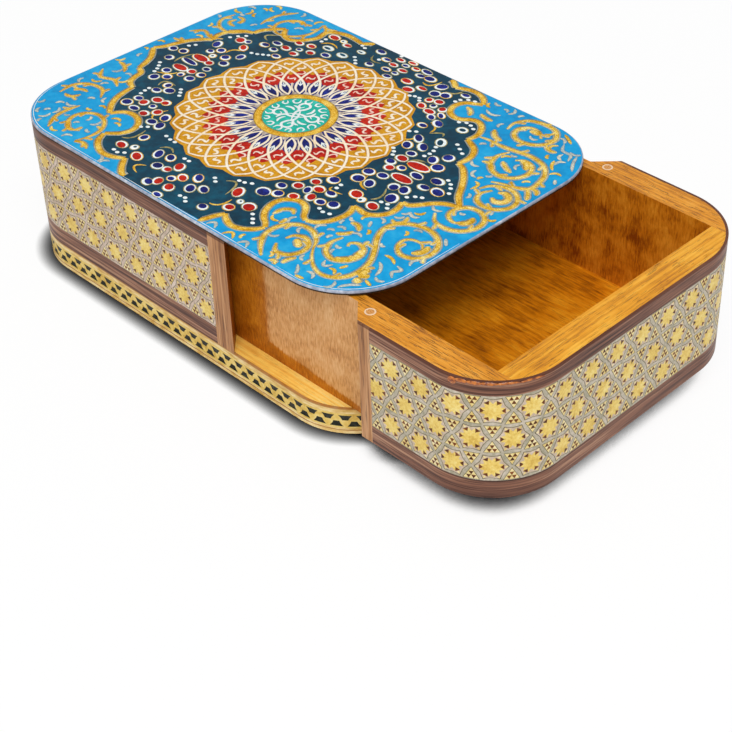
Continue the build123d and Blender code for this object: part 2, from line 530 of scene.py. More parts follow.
# %% Give the CAD boards their finishes
board_finishes = {
    beech_side: ["drawer_left_side", "drawer_right_side"],
    beech_front: ["drawer_front", "drawer_back"],
    beech_floor: ["drawer_floor"],
    beech_case: ["case_left_wall", "case_right_wall", "case_back_wall"],
    beech_base: ["base_plate"],
    band_walnut: [f"{body}_{level}_band" for body in ("case", "drawer") for level in ("lower", "upper")],
    strip_walnut: [f"{body}_{side}_end_strip" for body in ("case", "drawer") for side in ("left", "right")],
    line_wood: ["base_edge_lower_line", "base_edge_upper_line"],
    peg_wood: ["drawer_left_peg", "drawer_right_peg"],
}
for finish, names in board_finishes.items():
    for name in names:
        board_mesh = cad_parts[name].data
        board_mesh.materials.clear()
        board_mesh.materials.append(finish)
print("finished", sum(len(names) for names in board_finishes.values()), "CAD boards")

# %% [markdown]
# ## Round the outline
# Everything on the sides follows one path: the rounded outline of the box. A distance along that path
# and a height are enough to say where a tile lies, so the marquetry is laid flat first, like veneer on a
# bench, and then bent round the box.

# %% The outline as a path
plate_lowest, plate_highest = in_mm(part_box("painted_top"))
half_length, half_width, plate_top = plate_highest
corner_radius = 23.0
drawer_opening = in_mm(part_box("drawer_khatam_panel"))[1][0] - half_length
straight_side = 2 * (half_length - corner_radius)
straight_end = 2 * (half_width - corner_radius)
quarter_turn = corner_radius * math.pi / 2
once_round = 2 * (straight_side + straight_end) + 4 * quarter_turn


def outline_point(along, inset):
    """Plan point at a distance along the outline, counted from the middle of the left side towards +X."""
    along = (along + straight_side / 2) % once_round
    side_x, end_y = half_length - corner_radius, half_width - corner_radius
    starts = ((-side_x, -half_width, 0), (half_length, -end_y, 90), (side_x, half_width, 180),
              (-half_length, end_y, 270))
    for (x, y, heading), straight in zip(starts, (straight_side, straight_end) * 2):
        heading = math.radians(heading)
        forward = Vector((math.cos(heading), math.sin(heading)))
        inward = Vector((-math.sin(heading), math.cos(heading)))
        start = Vector((x, y))
        if along <= straight:
            return start + forward * along + inward * inset
        along -= straight
        if along <= quarter_turn:
            turn = along / corner_radius
            centre = start + forward * straight + inward * corner_radius
            return centre + (forward * math.sin(turn) - inward * math.cos(turn)) * (corner_radius - inset)
        along -= quarter_turn


def outline_cuts(start, end, step=1.8):
    """Distances between start and end where a strip has to bend, all of them on the rounded corners."""
    cuts = []
    first = straight_side / 2
    for lap in (-1, 0, 1):
        corner = first + lap * once_round
        for straight in (straight_end, straight_side, straight_end, straight_side):
            pieces = round(quarter_turn / step)
            cuts += [corner + quarter_turn * piece / pieces for piece in range(pieces + 1)]
            corner += quarter_turn + straight
    return sorted(cut for cut in cuts if start + 0.01 < cut < end - 0.01)


print("outline is", round(once_round, 1), "mm round, and the drawer stands", drawer_opening, "mm open")

# %% [markdown]
# ## Laying tiles
# Khatam is made by gluing thin rods into bundles, sawing the bundle into slices like a sausage, and
# gluing the slices side by side. So one slice is drawn once, and Geometry Nodes lay it out in rows, each
# row shifted by half a slice. A script then trims the sheet to its panel, gives it a little thickness
# and bends it round the outline.


# %% A recipe for rows of tiles
class Recipe(Graph):
    """A Geometry Nodes tree with named inputs, and a way to run it once."""

    def __init__(self, name, inputs):
        super().__init__(bpy.data.node_groups.new(name, "GeometryNodeTree"))
        self.sockets = {}
        for title, kind in inputs.items():
            made = self.tree.interface.new_socket(title, in_out="INPUT", socket_type="NodeSocket" + kind)
            self.sockets[title] = made.identifier
        self.tree.interface.new_socket("Geometry", in_out="OUTPUT", socket_type="NodeSocketGeometry")
        self.start = self.tree.nodes.new("NodeGroupInput")

    def given(self, title):
        """One of the recipe's inputs as a Value."""
        return Value(self, self.find(self.start.outputs, self.sockets[title]))

    def ends(self, geometry, material):
        """Make the instances real geometry with its material, and hand it to the recipe's output."""
        real = self.node("GeometryNodeRealizeInstances", {}, {"Geometry": geometry})
        dressed = self.node("GeometryNodeSetMaterial", {}, {"Geometry": real, "Material": material})
        self.node("NodeGroupOutput", {}, {0: dressed})

    def run(self, **values):
        """The recipe's result as a plain mesh."""
        base = bpy.data.meshes.new("recipe_base")
        holder = put("recipe_holder", base)
        modifier = holder.modifiers.new("recipe", "NODES")
        modifier.node_group = self.tree
        for title, value in values.items():
            modifier[self.sockets[title.replace("_", " ")]] = value
        ready = bpy.context.evaluated_depsgraph_get()
        made = bpy.data.meshes.new_from_object(holder.evaluated_get(ready), depsgraph=ready)
        bpy.data.objects.remove(holder)
        bpy.data.meshes.remove(base)
        return made


def tile_rows():
    """Rows of one tile, every second row shifted by half a pitch."""
    recipe = Recipe("tile_rows", {"Tile": "Object", "Columns": "Int", "Rows": "Int", "Pitch": "Float",
                                  "Row Pitch": "Float", "Material": "Material"})
    columns = recipe.given("Columns")
    index = recipe.node("GeometryNodeInputIndex", {}, {})
    row = (index / columns).floor()
    column = index - row * columns
    x = (column + 0.5 * (row % 2)) * recipe.given("Pitch")
    y = row * recipe.given("Row Pitch")
    place = recipe.node("ShaderNodeCombineXYZ", {}, {"X": x, "Y": y})
    count = columns * recipe.given("Rows")
    points = recipe.node("GeometryNodePoints", {}, {"Count": count, "Position": place})
    tile = recipe.node("GeometryNodeObjectInfo", {}, {"Object": recipe.given("Tile")}, "Geometry")
    rows = recipe.node("GeometryNodeInstanceOnPoints", {}, {"Points": points, "Instance": tile})
    recipe.ends(rows, recipe.given("Material"))
    return recipe


tile_recipe = tile_rows()
print("tile recipe:", len(tile_recipe.tree.nodes), "nodes")


# %% Flat shapes, trimming and bending
def settled(name, shape, finishes=()):
    """A plain mesh from a shape in the making, with its finishes."""
    mesh = bpy.data.meshes.new(name)
    shape.to_mesh(mesh)
    shape.free()
    for finish in finishes:
        mesh.materials.append(finish)
    return mesh


def flat_object(name, polygons):
    """A sheet of flat polygons, as an object that a recipe can lay out."""
    sheet = bmesh.new()
    for polygon in polygons:
        sheet.faces.new([sheet.verts.new((x, y, 0.0)) for x, y in polygon])
    return put(name, settled(name, sheet))


def trim(sheet, axis, at, keep_above):
    """Cut a flat sheet along one line, and drop one side of it unless keep_above is None."""
    normal = [0.0, 0.0, 0.0]
    normal[axis] = 1.0
    origin = [0.0, 0.0, 0.0]
    origin[axis] = at
    parts = sheet.verts[:] + sheet.edges[:] + sheet.faces[:]
    bmesh.ops.bisect_plane(sheet, geom=parts, plane_co=origin, plane_no=normal, dist=1e-5,
                           clear_inner=keep_above is True, clear_outer=keep_above is False)


def thicken(sheet, front, back):
    """Turn a flat sheet into slips between two depths under the surface."""
    for vertex in sheet.verts:
        vertex.co.z = back
    raised = bmesh.ops.extrude_face_region(sheet, geom=sheet.faces[:])
    for part in raised["geom"]:
        if isinstance(part, bmesh.types.BMVert):
            part.co.z = front
    bmesh.ops.recalc_face_normals(sheet, faces=sheet.faces[:])


def bend(sheet, shift):
    """Wrap a sheet laid out as (along, height, depth) round the outline."""
    for vertex in sheet.verts:
        along, height, depth = vertex.co
        x, y = outline_point(along, depth)
        vertex.co = ((x + shift) * MM, y * MM, height * MM)
    bmesh.ops.recalc_face_normals(sheet, faces=sheet.faces[:])


print("tools for flat sheets ready")


# %% Plain strips, rows of tiles, and layers of both
def band_sheet(start, end, low, high):
    """A plain strip of the band, cut where it has to bend."""
    stations = [start] + outline_cuts(start, end) + [end]
    sheet = bmesh.new()
    lower = [sheet.verts.new((s, low, 0.0)) for s in stations]
    upper = [sheet.verts.new((s, high, 0.0)) for s in stations]
    for n in range(len(stations) - 1):
        sheet.faces.new((lower[n], lower[n + 1], upper[n + 1], upper[n]))
    return sheet


def tile_sheet(tile, finish, panel, pitch, row_pitch, first):
    """Rows of one tile, trimmed to a panel (start, end, low, high) and cut where the panel bends."""
    start, end, low, high = panel
    lead = math.floor((start - first[0]) / pitch) - 1
    columns = math.ceil((end - start) / pitch) + 4
    rows = math.ceil((high - first[1]) / row_pitch) + 1
    mesh = tile_recipe.run(Tile=tile, Columns=columns, Rows=rows, Pitch=pitch, Row_Pitch=row_pitch,
                           Material=finish)
    sheet = bmesh.new()
    sheet.from_mesh(mesh)
    bpy.data.meshes.remove(mesh)
    for vertex in sheet.verts:
        vertex.co.x += first[0] + lead * pitch
        vertex.co.y += first[1]
    for axis, at, above in ((0, start, True), (0, end, False), (1, low, True), (1, high, False)):
        trim(sheet, axis, at, above)
    for cut in outline_cuts(start, end):
        trim(sheet, 0, cut, None)
    return sheet


def join_sheets(name, layers, shift):
    """One object from (sheet, finish, front depth, back depth) layers, bent round the outline."""
    whole = bmesh.new()
    finishes = []
    for sheet, finish, front, back in layers:
        thicken(sheet, front, back)
        bend(sheet, shift)
        if finish not in finishes:
            finishes.append(finish)
        for face in sheet.faces:
            face.material_index = finishes.index(finish)
        part = settled("layer", sheet)
        whole.from_mesh(part)
        bpy.data.meshes.remove(part)
    return put(name, settled(name, whole, finishes))


print("tile helpers ready")

# %% [markdown]
# ## One slice of khatam
# The slice here is a six-sided star with hollow sides. Each of its corners is a triangle of four small
# ones: a dark one that points at the centre, and three pale ones round it. Between the stars lie larger
# triangles of nine small ones, three of them dark, which meet in the middle like a trefoil. Straps run
# between all of them, with a thin dark line along each edge: in the photograph they look grey on the
# drawer head and rosier on the case.

# %% The star of one slice
slice_pitch = 10.75
slice_row_pitch = 9.5
hexagon_side = slice_pitch / 2
upright_stretch = slice_row_pitch / (hexagon_side * math.sqrt(3))
star_radius = 4.45
star_hollow = 3.5
star_notch, star_tooth = 2.25, 3.32
dark_apex, dark_base, dark_half_angle = 2.0, 3.4, 13
pale_base, pale_half_angle = dark_base + 0.1, 7


def around(radius, degrees):
    """A point at a distance and a direction from the middle."""
    return Vector((radius * math.cos(math.radians(degrees)), radius * math.sin(math.radians(degrees))))


def star_tiles():
    """A star of twelve teeth, dark and pale slips in every second notch, and the ground they lie on."""
    notches = [around(star_notch, 30 * n) for n in range(12)]
    body = [notches]
    for n in range(12):
        body.append((notches[n], around(star_tooth, 30 * n + 15), notches[(n + 1) % 12]))
    dark, pale, ground = [], [], []
    for out in range(0, 360, 60):
        tip = around(star_radius, out)
        dark_feet = [around(dark_base, out + side * dark_half_angle) for side in (-1, 1)]
        pale_feet = [around(pale_base, out + side * pale_half_angle) for side in (-1, 1)]
        hollows = [around(star_hollow, out + side * 30) for side in (-1, 1)]
        dark.append((around(dark_apex, out), *dark_feet))
        pale.append((pale_feet[0], tip, pale_feet[1]))
        ground.append((Vector((0, 0)), hollows[0], tip, hollows[1]))
    return body, dark, pale, ground


star_body, star_dark, star_pale, star_ground = star_tiles()
print("a star has", len(star_body) + len(star_dark) + len(star_pale), "slips")

# %% The trefoils between the stars, and the lines round both
trefoil_side = 4.2
trefoil_rise = hexagon_side * math.sqrt(3) / 2 * 4 / 3
line_width = 0.14


def trefoil_tiles():
    """The two triangles over and under the hexagon, each of nine small ones."""
    dark, pale = [], []
    small = trefoil_side / 3
    for sign in (1, -1):
        centre = Vector((0, sign * trefoil_rise))
        for n in range(3):
            toward = sign * 90 + 120 * n
            near_left, near_right = centre + around(small, toward - 30), centre + around(small, toward + 30)
            far = centre + around(small * math.sqrt(3), toward)
            dark.append((centre, near_left, near_right))
            pale += [(near_left, far, near_right),
                     (centre, centre + around(small, toward + 150), centre + around(small, toward + 210))]
    return dark, pale


def slice_outlines():
    """Thin dark ground that shows as a line round each star and each trefoil."""
    shapes = []
    for out in range(0, 360, 60):
        hollows = [around(star_hollow + line_width, out + side * 30) for side in (-1, 1)]
        shapes.append([Vector((0, 0)), hollows[0], around(star_radius + 2 * line_width, out), hollows[1]])
    reach = trefoil_side / math.sqrt(3) + 2 * line_width
    for sign in (1, -1):
        centre = Vector((0, sign * trefoil_rise))
        shapes.append([centre + around(reach, sign * 90 + 120 * n) for n in range(3)])
    return shapes


trefoil_dark, trefoil_pale = trefoil_tiles()
slice_shapes = {
    "line": slice_outlines(),
    "yellow": star_body,
    "dark": star_dark + trefoil_dark,
    "pale": star_pale + trefoil_pale,
    "ground": star_ground,
}
slice_objects = {}
for kind, polygons in slice_shapes.items():
    stretched = [[(x, y * upright_stretch) for x, y in polygon] for polygon in polygons]
    slice_objects[kind] = flat_object(f"slice_{kind}", stretched)
print("one slice has", sum(len(made.data.polygons) for made in slice_objects.values()), "tiles")


# %% Finishes of the slips
def slip(name, per_mm, stops):
    """Thin slips of dyed wood, straw or bone under one lacquer."""
    wood = Finish(name, clear_coat(0.1, 0.12))
    speck = wood.noise(wood.place([per_mm] * 3), detail=3.0)
    patch = wood.noise(wood.place([per_mm * 0.2] * 3), detail=2.0)
    tone = 0.5 * speck + 0.5 * patch
    return wood.wear(Base_Color=wood.ramp(tone, *stops), Roughness=0.3 + 0.2 * speck)


slip_tones = {
    "grey_strap": (1.1, tones("#9E9880", "#BAB09C", "#D4C8B8", low=0.36)),
    "rosy_strap": (1.1, tones("#B29E88", "#CAB4A2", "#DECCBE", low=0.36)),
    "line": (1.0, ((0.36, "#4C4A30"), (0.6, "#6C6644"))),
    "yellow": (1.4, tones("#D2AC4C", "#EBCB6A", "#F6E192")),
    "dark": (1.2, tones("#452208", "#663612", "#8E4E1C", low=0.36)),
    "pale": (1.3, tones("#D9B868", "#EAD38E", "#F6E8BE", low=0.36)),
    "ground": (1.3, tones("#B4A088", "#CBB6A0", "#DECCBA", low=0.36)),
}
slip_finishes = {kind: slip(f"khatam_{kind}", *tone) for kind, tone in slip_tones.items()}
print("slip finishes:", ", ".join(slip_finishes))


# %% Lay the khatam round the case and round the drawer head
facing_thickness = 0.8
ground_depth = 0.05
slip_back = 0.2
slip_depths = {"line": 0.03, "yellow": 0.0, "dark": 0.0, "pale": 0.0, "ground": 0.015}


def khatam(name, strap, panel, first_star, shift):
    """Straps all over a panel (start, end, low, high), with the slips of every slice laid on them."""
    low, high = panel[2:]
    first = (first_star, (low + high) / 2 - 2 * slice_row_pitch)
    layers = [(band_sheet(*panel), slip_finishes[strap], ground_depth, facing_thickness)]
    for kind, tile in slice_objects.items():
        sheet = tile_sheet(tile, slip_finishes[kind], panel, slice_pitch, slice_row_pitch, first)
        layers.append((sheet, slip_finishes[kind], slip_depths[kind], slip_back))
    return join_sheets(name, layers, shift)


def dress(made, body, slot, *nodes):
    """Hand a finished piece to its body, and hide the CAD nodes that it stands for. The slot is not used."""
    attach(made, body)
    if nodes:
        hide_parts(*nodes)
    print(made.name, "has", sum(len(face.vertices) - 2 for face in made.data.polygons), "triangles")


case_panel, drawer_panel = in_mm(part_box("case_khatam_panel")), in_mm(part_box("drawer_khatam_panel"))
khatam_heights = (case_panel[0][2], case_panel[1][2])
case_band_end = case_panel[1][0]
drawer_band_start = drawer_panel[0][0] - drawer_opening
case_first_star, drawer_first_star = 0.45, 1.85
far_side_middle = once_round / 2
case_khatam = khatam(
    "case_khatam", "rosy_strap",
    (far_side_middle - case_band_end, once_round + case_band_end, *khatam_heights),
    case_first_star + once_round % slice_pitch, 0.0)
drawer_khatam = khatam(
    "drawer_khatam", "grey_strap",
    (drawer_band_start, far_side_middle - drawer_band_start, *khatam_heights),
    drawer_first_star, drawer_opening)
dress(case_khatam, "case", "khatam", "case_khatam_panel")
dress(drawer_khatam, "drawer", "khatam", "drawer_khatam_panel")

# %% [markdown]
# ## A run in the varnish
# At the near corner of the drawer head the varnish has run over the top edge and set in a few glossy
# drops. A run could be sculpted, but at this size its highlights are all that shows. So each drop is a
# flattened ball, half sunk into the walnut band.


# %% Drops along the head's corner
# Distance along the outline, height, half length, half height and thickness of each drop
drops = [
    (60.8, 46.6, 1.3, 1.2, 0.4), (63.4, 47.2, 1.8, 0.75, 0.35), (66.8, 47.3, 2.2, 0.65, 0.35),
    (70.6, 47.4, 2.4, 0.55, 0.3), (75.6, 47.5, 3.2, 0.45, 0.28), (82.0, 47.55, 3.6, 0.4, 0.25),
]
drop_sunk = 0.1


def varnish_drops():
    """Flattened balls along the outline, each sunk into the band."""
    clear = Finish("run_varnish", clear_coat(0.3, 0.05, shine=0.4))
    speck = clear.noise(clear.place((0.8, 0.8, 0.8)), detail=2.0)
    amber = clear.ramp(speck, (0.36, "#7A3208"), (0.6, "#CC7420"))
    clear.wear(Base_Color=amber, Roughness=0.06 + 0.1 * speck)
    balls = bmesh.new()
    for along, height, half_long, half_tall, thick in drops:
        here, ahead = outline_point(along, drop_sunk), outline_point(along + 0.5, drop_sunk)
        turn = math.atan2(ahead.y - here.y, ahead.x - here.x)
        place = Matrix.Translation(Vector((here.x + drawer_opening, here.y, height)) * MM)
        shape = Matrix.Diagonal((half_long * MM, thick * MM, half_tall * MM, 1))
        bmesh.ops.create_uvsphere(balls, u_segments=14, v_segments=8, radius=1,
                                  matrix=place @ Matrix.Rotation(turn, 4, "Z") @ shape)
    for face in balls.faces:
        face.smooth = True
    return put("varnish_run", settled("varnish_run", balls, [clear.material]))


dress(varnish_drops(), "drawer", "beech")

# %% [markdown]
# ## The band round the base
# The base's edge carries a black band with a light zigzag: teeth stand up and hang down from a thin
# middle line, half a step apart. It is sawn from one bundle too, so the same recipe lays it. A tile is one
# standing tooth and one hanging tooth, and the lines are plain strips.

# %% The light zigzag of the base
band_lowest, band_highest = in_mm(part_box("base_edge_inlay_band"))
band_low, band_high = band_lowest[2], band_highest[2]
black_low, black_high = 2.5, 6.5
middle_low, middle_high = 4.45, 4.75
tooth_count = 96
tooth_pitch = once_round / tooth_count
tooth_overlap = 0.1
tooth_depth = 0.01
first_tooth = (0.75, 0.0)
# A row pitch far taller than the band, which leaves a single row of tiles
only_row = 50.0


def tooth(root, tip, centre):
    """A leaf-shaped tooth, wide at its root and nearly pointed at its tip."""
    shape = ((-1.75, 0.0), (1.75, 0.0), (1.3, 0.5), (0.45, 1.0), (-0.45, 1.0), (-1.3, 0.5))
    return [(centre + across, root + (tip - root) * up) for across, up in shape]


tooth_tile = flat_object("tooth_tile", [
    tooth(middle_high - tooth_overlap, black_high + tooth_overlap, 0.0),
    tooth(middle_low + tooth_overlap, black_low - tooth_overlap, tooth_pitch / 2),
])


def base_band():
    """Black ground, light teeth, and three light lines: along the middle and along both edges."""
    start, end = -once_round / 2, once_round / 2
    panel = (start, end, band_low, band_high)
    black = slip("edge_black", 0.9, tones("#15170F", "#272820", "#45443A", low=0.36))
    light = slip("edge_light", 0.8, tones("#CDA648", "#E6C568", "#F2DC94", low=0.36))
    teeth = tile_sheet(tooth_tile, light, panel, tooth_pitch, only_row, first_tooth)
    layers = [
        (band_sheet(*panel), black, ground_depth, facing_thickness),
        (teeth, light, tooth_depth, slip_back),
    ]
    for low, high in ((band_low, black_low), (middle_low, middle_high), (black_high, band_high)):
        layers.append((band_sheet(start, end, low, high), light, 0.0, slip_back))
    return join_sheets("base_edge_zigzag", layers, 0.0)


dress(base_band(), "case", "edge_inlay", "base_edge_inlay_band")

# %% [markdown]
# ## The painted plate
# The top is a thin board, painted and varnished. Its upper face lies a hair under the CAD face, so that
# every layer of paint on it stays inside the box. The plate is built as a stack of outlines, each drawn in
# a little further than the last, which gives the rounded rim its shine.


# %% Paints
def paint(name, per_mm, stops, rough=0.25, relief=0.02):
    """Brushed paint under a clear varnish: colour and gloss vary a little with the brush."""
    coat = Finish(name, clear_coat(0.03, 0.08, shine=0.05))
    fine = coat.noise(coat.place([per_mm] * 3), detail=3.0)
    broad = coat.noise(coat.place([per_mm * 0.1] * 3), detail=2.0)
    tone = 0.6 * fine + 0.4 * broad
    return coat.wear(Base_Color=coat.ramp(tone, *stops), Roughness=rough + 0.25 * fine,
                     Normal=coat.bump(fine, relief))


grainy = (0.3, 0.05)
paint_tones = {
    "azure": (0.35, tones("#0A8AC6", "#10A0DC", "#36B6E4", low=0.3, high=0.72)),
    "teal": (0.35, tones("#042A3C", "#063B50", "#0C566E", low=0.3, high=0.72)),
    "gold": (2.6, tones("#B0760A", "#E6AE22", "#FBE27C", low=0.36, high=0.62), *grainy),
    "leaf_gold": (2.6, tones("#B8820E", "#E8BC3A", "#FDEFA4", low=0.36, high=0.62), *grainy),
    "ochre": (1.2, tones("#B87A0A", "#D49410", "#E6AE30")),
    "red": (0.8, tones("#8A0A02", "#BC1806", "#D23814")),
    "navy": (0.8, tones("#060E42", "#0C186C", "#22349C")),
    "cream": (0.9, tones("#FBDDB4", "#FFEFD2", "#FFF9EC")),
    "blush": (0.9, tones("#F4AC9A", "#FBD6C4", "#FFF0E6")),
    "taupe": (0.9, tones("#7E6E62", "#B2A498", "#E2D8CE")),
    "turquoise": (0.5, tones("#12A08E", "#1FB8A4", "#48CEBC")),
    "white": (0.8, tones("#D8E6E8", "#F0F7F5", "#FFFFFF")),
    "pearl": (1.6, tones("#8C9AA4", "#BCC2B8", "#F0EAD0")),
    "olive": (1.2, tones("#6A6640", "#A2965C", "#D2C082")),
    "edge": (0.6, tones("#7F8798", "#A3ABBE", "#CDD3DE")),
    # A dark foot of painted shadow, under the plate's edge and on its underside
    "under_edge": (0.6, ((0.34, "#241A12"), (0.66, "#4A3A2C"))),
}
paints = {kind: paint(f"paint_{kind}", *tone) for kind, tone in paint_tones.items()}
print("paints:", ", ".join(paints))

# %% The plate as a stack of outlines
plate_low = plate_lowest[2]
face_sunk = 0.2
plate_face = plate_top - face_sunk
rim_width = 0.5
loop_step = 1.6
# Inset and height of each outline, and the paint between it and the next
plate_rings = [
    # The lowest band of the edge is painted shadow
    (0.0, plate_low, "under_edge"), (0.0, 49.0, "edge"), (0.0, 49.3, "edge"), (0.06, 49.5, "edge"),
    (0.2, 49.66, "edge"), (0.42, 49.76, "azure"), (0.75, plate_face, "azure"),
]


def outline_loop(inset):
    """Plan points once round the outline, close together on the rounded corners only."""
    half = once_round / 2
    bends = {along % once_round for along in outline_cuts(-half, half, loop_step)}
    return [outline_point(along, inset) for along in sorted({0.0, half} | bends)]


def plate():
    """The board: a dark foot of painted shadow under its edge, a grey edge and rim, and the blue from just
    inside the rim.
    """
    finishes = ["azure", "edge", "under_edge"]
    shell = bmesh.new()
    loops = [[shell.verts.new((x * MM, y * MM, height * MM)) for x, y in outline_loop(inset)]
             for inset, height, finish in plate_rings]
    count = len(loops[0])
    for lower, upper, (inset, height, finish) in zip(loops, loops[1:], plate_rings):
        for n in range(count):
            wall = shell.faces.new((lower[n], lower[(n + 1) % count], upper[(n + 1) % count], upper[n]))
            wall.material_index = finishes.index(finish)
    shell.faces.new(loops[-1])
    shell.faces.new(loops[0][::-1]).material_index = finishes.index("under_edge")
    bmesh.ops.recalc_face_normals(shell, faces=shell.faces[:])
    return put("painted_plate", settled("painted_plate", shell, [paints[finish] for finish in finishes]))


dress(plate(), "case", "painted_top", "painted_top")

# %% [markdown]
# ## Brush strokes and dabs
# A painter works with two movements: a stroke, which follows a line and thins out at its ends, and a dab,
# which leaves a small mound of paint. Both repeat hundreds of times, so each is a recipe. A stroke is a
# curve swept with a flat oval; a dab is a low dome set on a point, turned and stretched.


# %% Recipes for strokes and dabs
def stroke_recipe():
    """A flat oval swept along lines, swelling and thinning with each line's radius."""
    inputs = {"Lines": "Object", "Width": "Float", "Height": "Float", "Material": "Material"}
    recipe = Recipe("brush_strokes", inputs)
    lines = recipe.node("GeometryNodeObjectInfo", {}, {"Object": recipe.given("Lines")}, "Geometry")
    oval = recipe.node("GeometryNodeCurvePrimitiveCircle", {}, {"Resolution": 6, "Radius": 0.5}, "Curve")
    sides = {"X": recipe.given("Width"), "Y": recipe.given("Height"), "Z": 1.0}
    size = recipe.node("ShaderNodeCombineXYZ", {}, sides)
    flat = recipe.node("GeometryNodeTransform", {}, {"Geometry": oval, "Scale": size})
    press = recipe.node("GeometryNodeInputRadius", {}, {})
    sweep = {"Curve": lines, "Profile Curve": flat, "Scale": press, "Fill Caps": True}
    recipe.ends(recipe.node("GeometryNodeCurveToMesh", {}, sweep), recipe.given("Material"))
    return recipe


def dab_recipe():
    """One dome on every point, turned and stretched as the point's attributes say."""
    recipe = Recipe("brush_dabs", {"Places": "Object", "Dab": "Object", "Material": "Material"})
    places = recipe.node("GeometryNodeObjectInfo", {}, {"Object": recipe.given("Places")}, "Geometry")
    dab = recipe.node("GeometryNodeObjectInfo", {}, {"Object": recipe.given("Dab")}, "Geometry")
    turn = recipe.node("GeometryNodeInputNamedAttribute", {"data_type": "FLOAT"}, {"Name": "turn"})
    upright = recipe.node("ShaderNodeCombineXYZ", {}, {"Z": turn})
    spin = recipe.node("FunctionNodeEulerToRotation", {}, {0: upright})
    size = recipe.node("GeometryNodeInputNamedAttribute", {"data_type": "FLOAT_VECTOR"}, {"Name": "size"})
    laid = {"Points": places, "Instance": dab, "Rotation": spin, "Scale": size}
    recipe.ends(recipe.node("GeometryNodeInstanceOnPoints", {}, laid), recipe.given("Material"))
    return recipe


strokes_recipe = stroke_recipe()
dabs_recipe = dab_recipe()
print("stroke and dab recipes ready")


# %% Soft lines that stay on the plate
def smooth(points, step=0.5):
    """A soft line through given points: one bow through three, and a spline through any others."""
    points = [Vector(p) for p in points]
    if len(points) == 3:
        start, middle, end = points
        pull = 2 * middle - (start + end) / 2
        pieces = max(4, round(((middle - start).length + (end - middle).length) / step))
        shares = [piece / pieces for piece in range(pieces + 1)]
        return [(1 - t) ** 2 * start + 2 * t * (1 - t) * pull + t ** 2 * end for t in shares]
    padded = [2 * points[0] - points[1]] + points + [2 * points[-1] - points[-2]]
    line = []
    for a, b, c, d in zip(padded, padded[1:], padded[2:], padded[3:]):
        pieces = max(1, round((c - b).length / step))
        for piece in range(pieces):
            t = piece / pieces
            line.append(0.5 * (2 * b + (c - a) * t + (2 * a - 5 * b + 4 * c - d) * t ** 2
                               + (3 * b - a - 3 * c + d) * t ** 3))
    return line + [points[-1]]


def on_plate(x, y, margin):
    """The nearest point that lies on the plate's flat face, a margin in from its outline."""
    end_x, end_y = half_length - corner_radius, half_width - corner_radius
    past = Vector((max(0.0, abs(x) - end_x), max(0.0, abs(y) - end_y)))
    reach = corner_radius - margin
    if past.length > reach:
        past *= reach / past.length
        x = math.copysign(min(abs(x), end_x) + past.x, x)
        y = math.copysign(min(abs(y), end_y) + past.y, y)
    return x, y


paint_step = 0.01


def layer_height(layer):
    """Height of a layer of paint, counted in thin steps from the plate's face."""
    return plate_face + paint_step * layer


print("layer 10 lies", round(layer_height(10), 3), "mm up")

# %% Strokes
stroke_thickness = 0.05
stroke_lift, lift_steps = 0.002, 6
thinning_share = 0.2


def strokes(lines, width, layer, paint_name, ends=0.35):
    """A mesh of strokes along soft lines in the plan, thinner at their ends.

    Strokes that follow each other are lifted by a hair, so that no two that cross share a surface.
    """
    data = bpy.data.curves.new("strokes", "CURVE")
    data.dimensions = "3D"
    data.twist_mode = "Z_UP"
    for number, line in enumerate(lines):
        line = [on_plate(x, y, width / 2 + rim_width) for x, y in smooth(line)]
        height = layer_height(layer) + stroke_lift * (number % lift_steps)
        spline = data.splines.new("POLY")
        spline.points.add(len(line) - 1)
        for n, (point, (x, y)) in enumerate(zip(spline.points, line)):
            along = n / (len(line) - 1)
            point.co = (x, y, height, 1.0)
            point.radius = ends + (1 - ends) * min(1.0, along / thinning_share, (1 - along) / thinning_share)
    holder = put("strokes", data)
    made = strokes_recipe.run(Lines=holder, Width=width, Height=stroke_thickness, Material=paints[paint_name])
    bpy.data.objects.remove(holder)
    return made


print("strokes thin out over", thinning_share, "of their length")

# %% Dabs
dome_sides = 12
dome_top = 0.03
dome_rings = ((0.36, 0.024), (0.5, 0.0), (0.5, -0.02))


def dome_object():
    """A low dome of twelve sides, one across, that the dab recipe stretches."""
    points = [(0, 0, dome_top)]
    for radius, height in dome_rings:
        points += [(*around(radius, 360 * n / dome_sides), height) for n in range(dome_sides)]
    faces = [(0, 1 + n, 1 + (n + 1) % dome_sides) for n in range(dome_sides)]
    for upper in (1, 1 + dome_sides):
        lower = upper + dome_sides
        for n in range(dome_sides):
            after = (n + 1) % dome_sides
            faces.append((upper + n, lower + n, lower + after, upper + after))
    faces.append([1 + 2 * dome_sides + n for n in reversed(range(dome_sides))])
    mesh = bpy.data.meshes.new("dab")
    mesh.from_pydata(points, [], faces)
    return put("dab", mesh)


dab_dome = dome_object()


def dabs(places, layer, paint_name):
    """Dabs at (x, y, half length, half width, degrees), in one layer of paint."""
    points, turns, sizes = [], [], []
    for x, y, half_long, half_wide, slant in places:
        points.append((x, y, layer_height(layer)))
        turns.append(math.radians(slant))
        sizes += [2 * half_long, 2 * half_wide, 1.0]
    mesh = bpy.data.meshes.new("dab_places")
    mesh.from_pydata(points, [], [])
    mesh.attributes.new("turn", "FLOAT", "POINT").data.foreach_set("value", turns)
    mesh.attributes.new("size", "FLOAT_VECTOR", "POINT").data.foreach_set("vector", sizes)
    holder = put("dab_places", mesh)
    made = dabs_recipe.run(Places=holder, Dab=dab_dome, Material=paints[paint_name])
    bpy.data.objects.remove(holder)
    return made


print("one dab has", len(dab_dome.data.polygons), "faces")

# %% Flat fields, and layers joined to one painting
field_sunk = 0.02


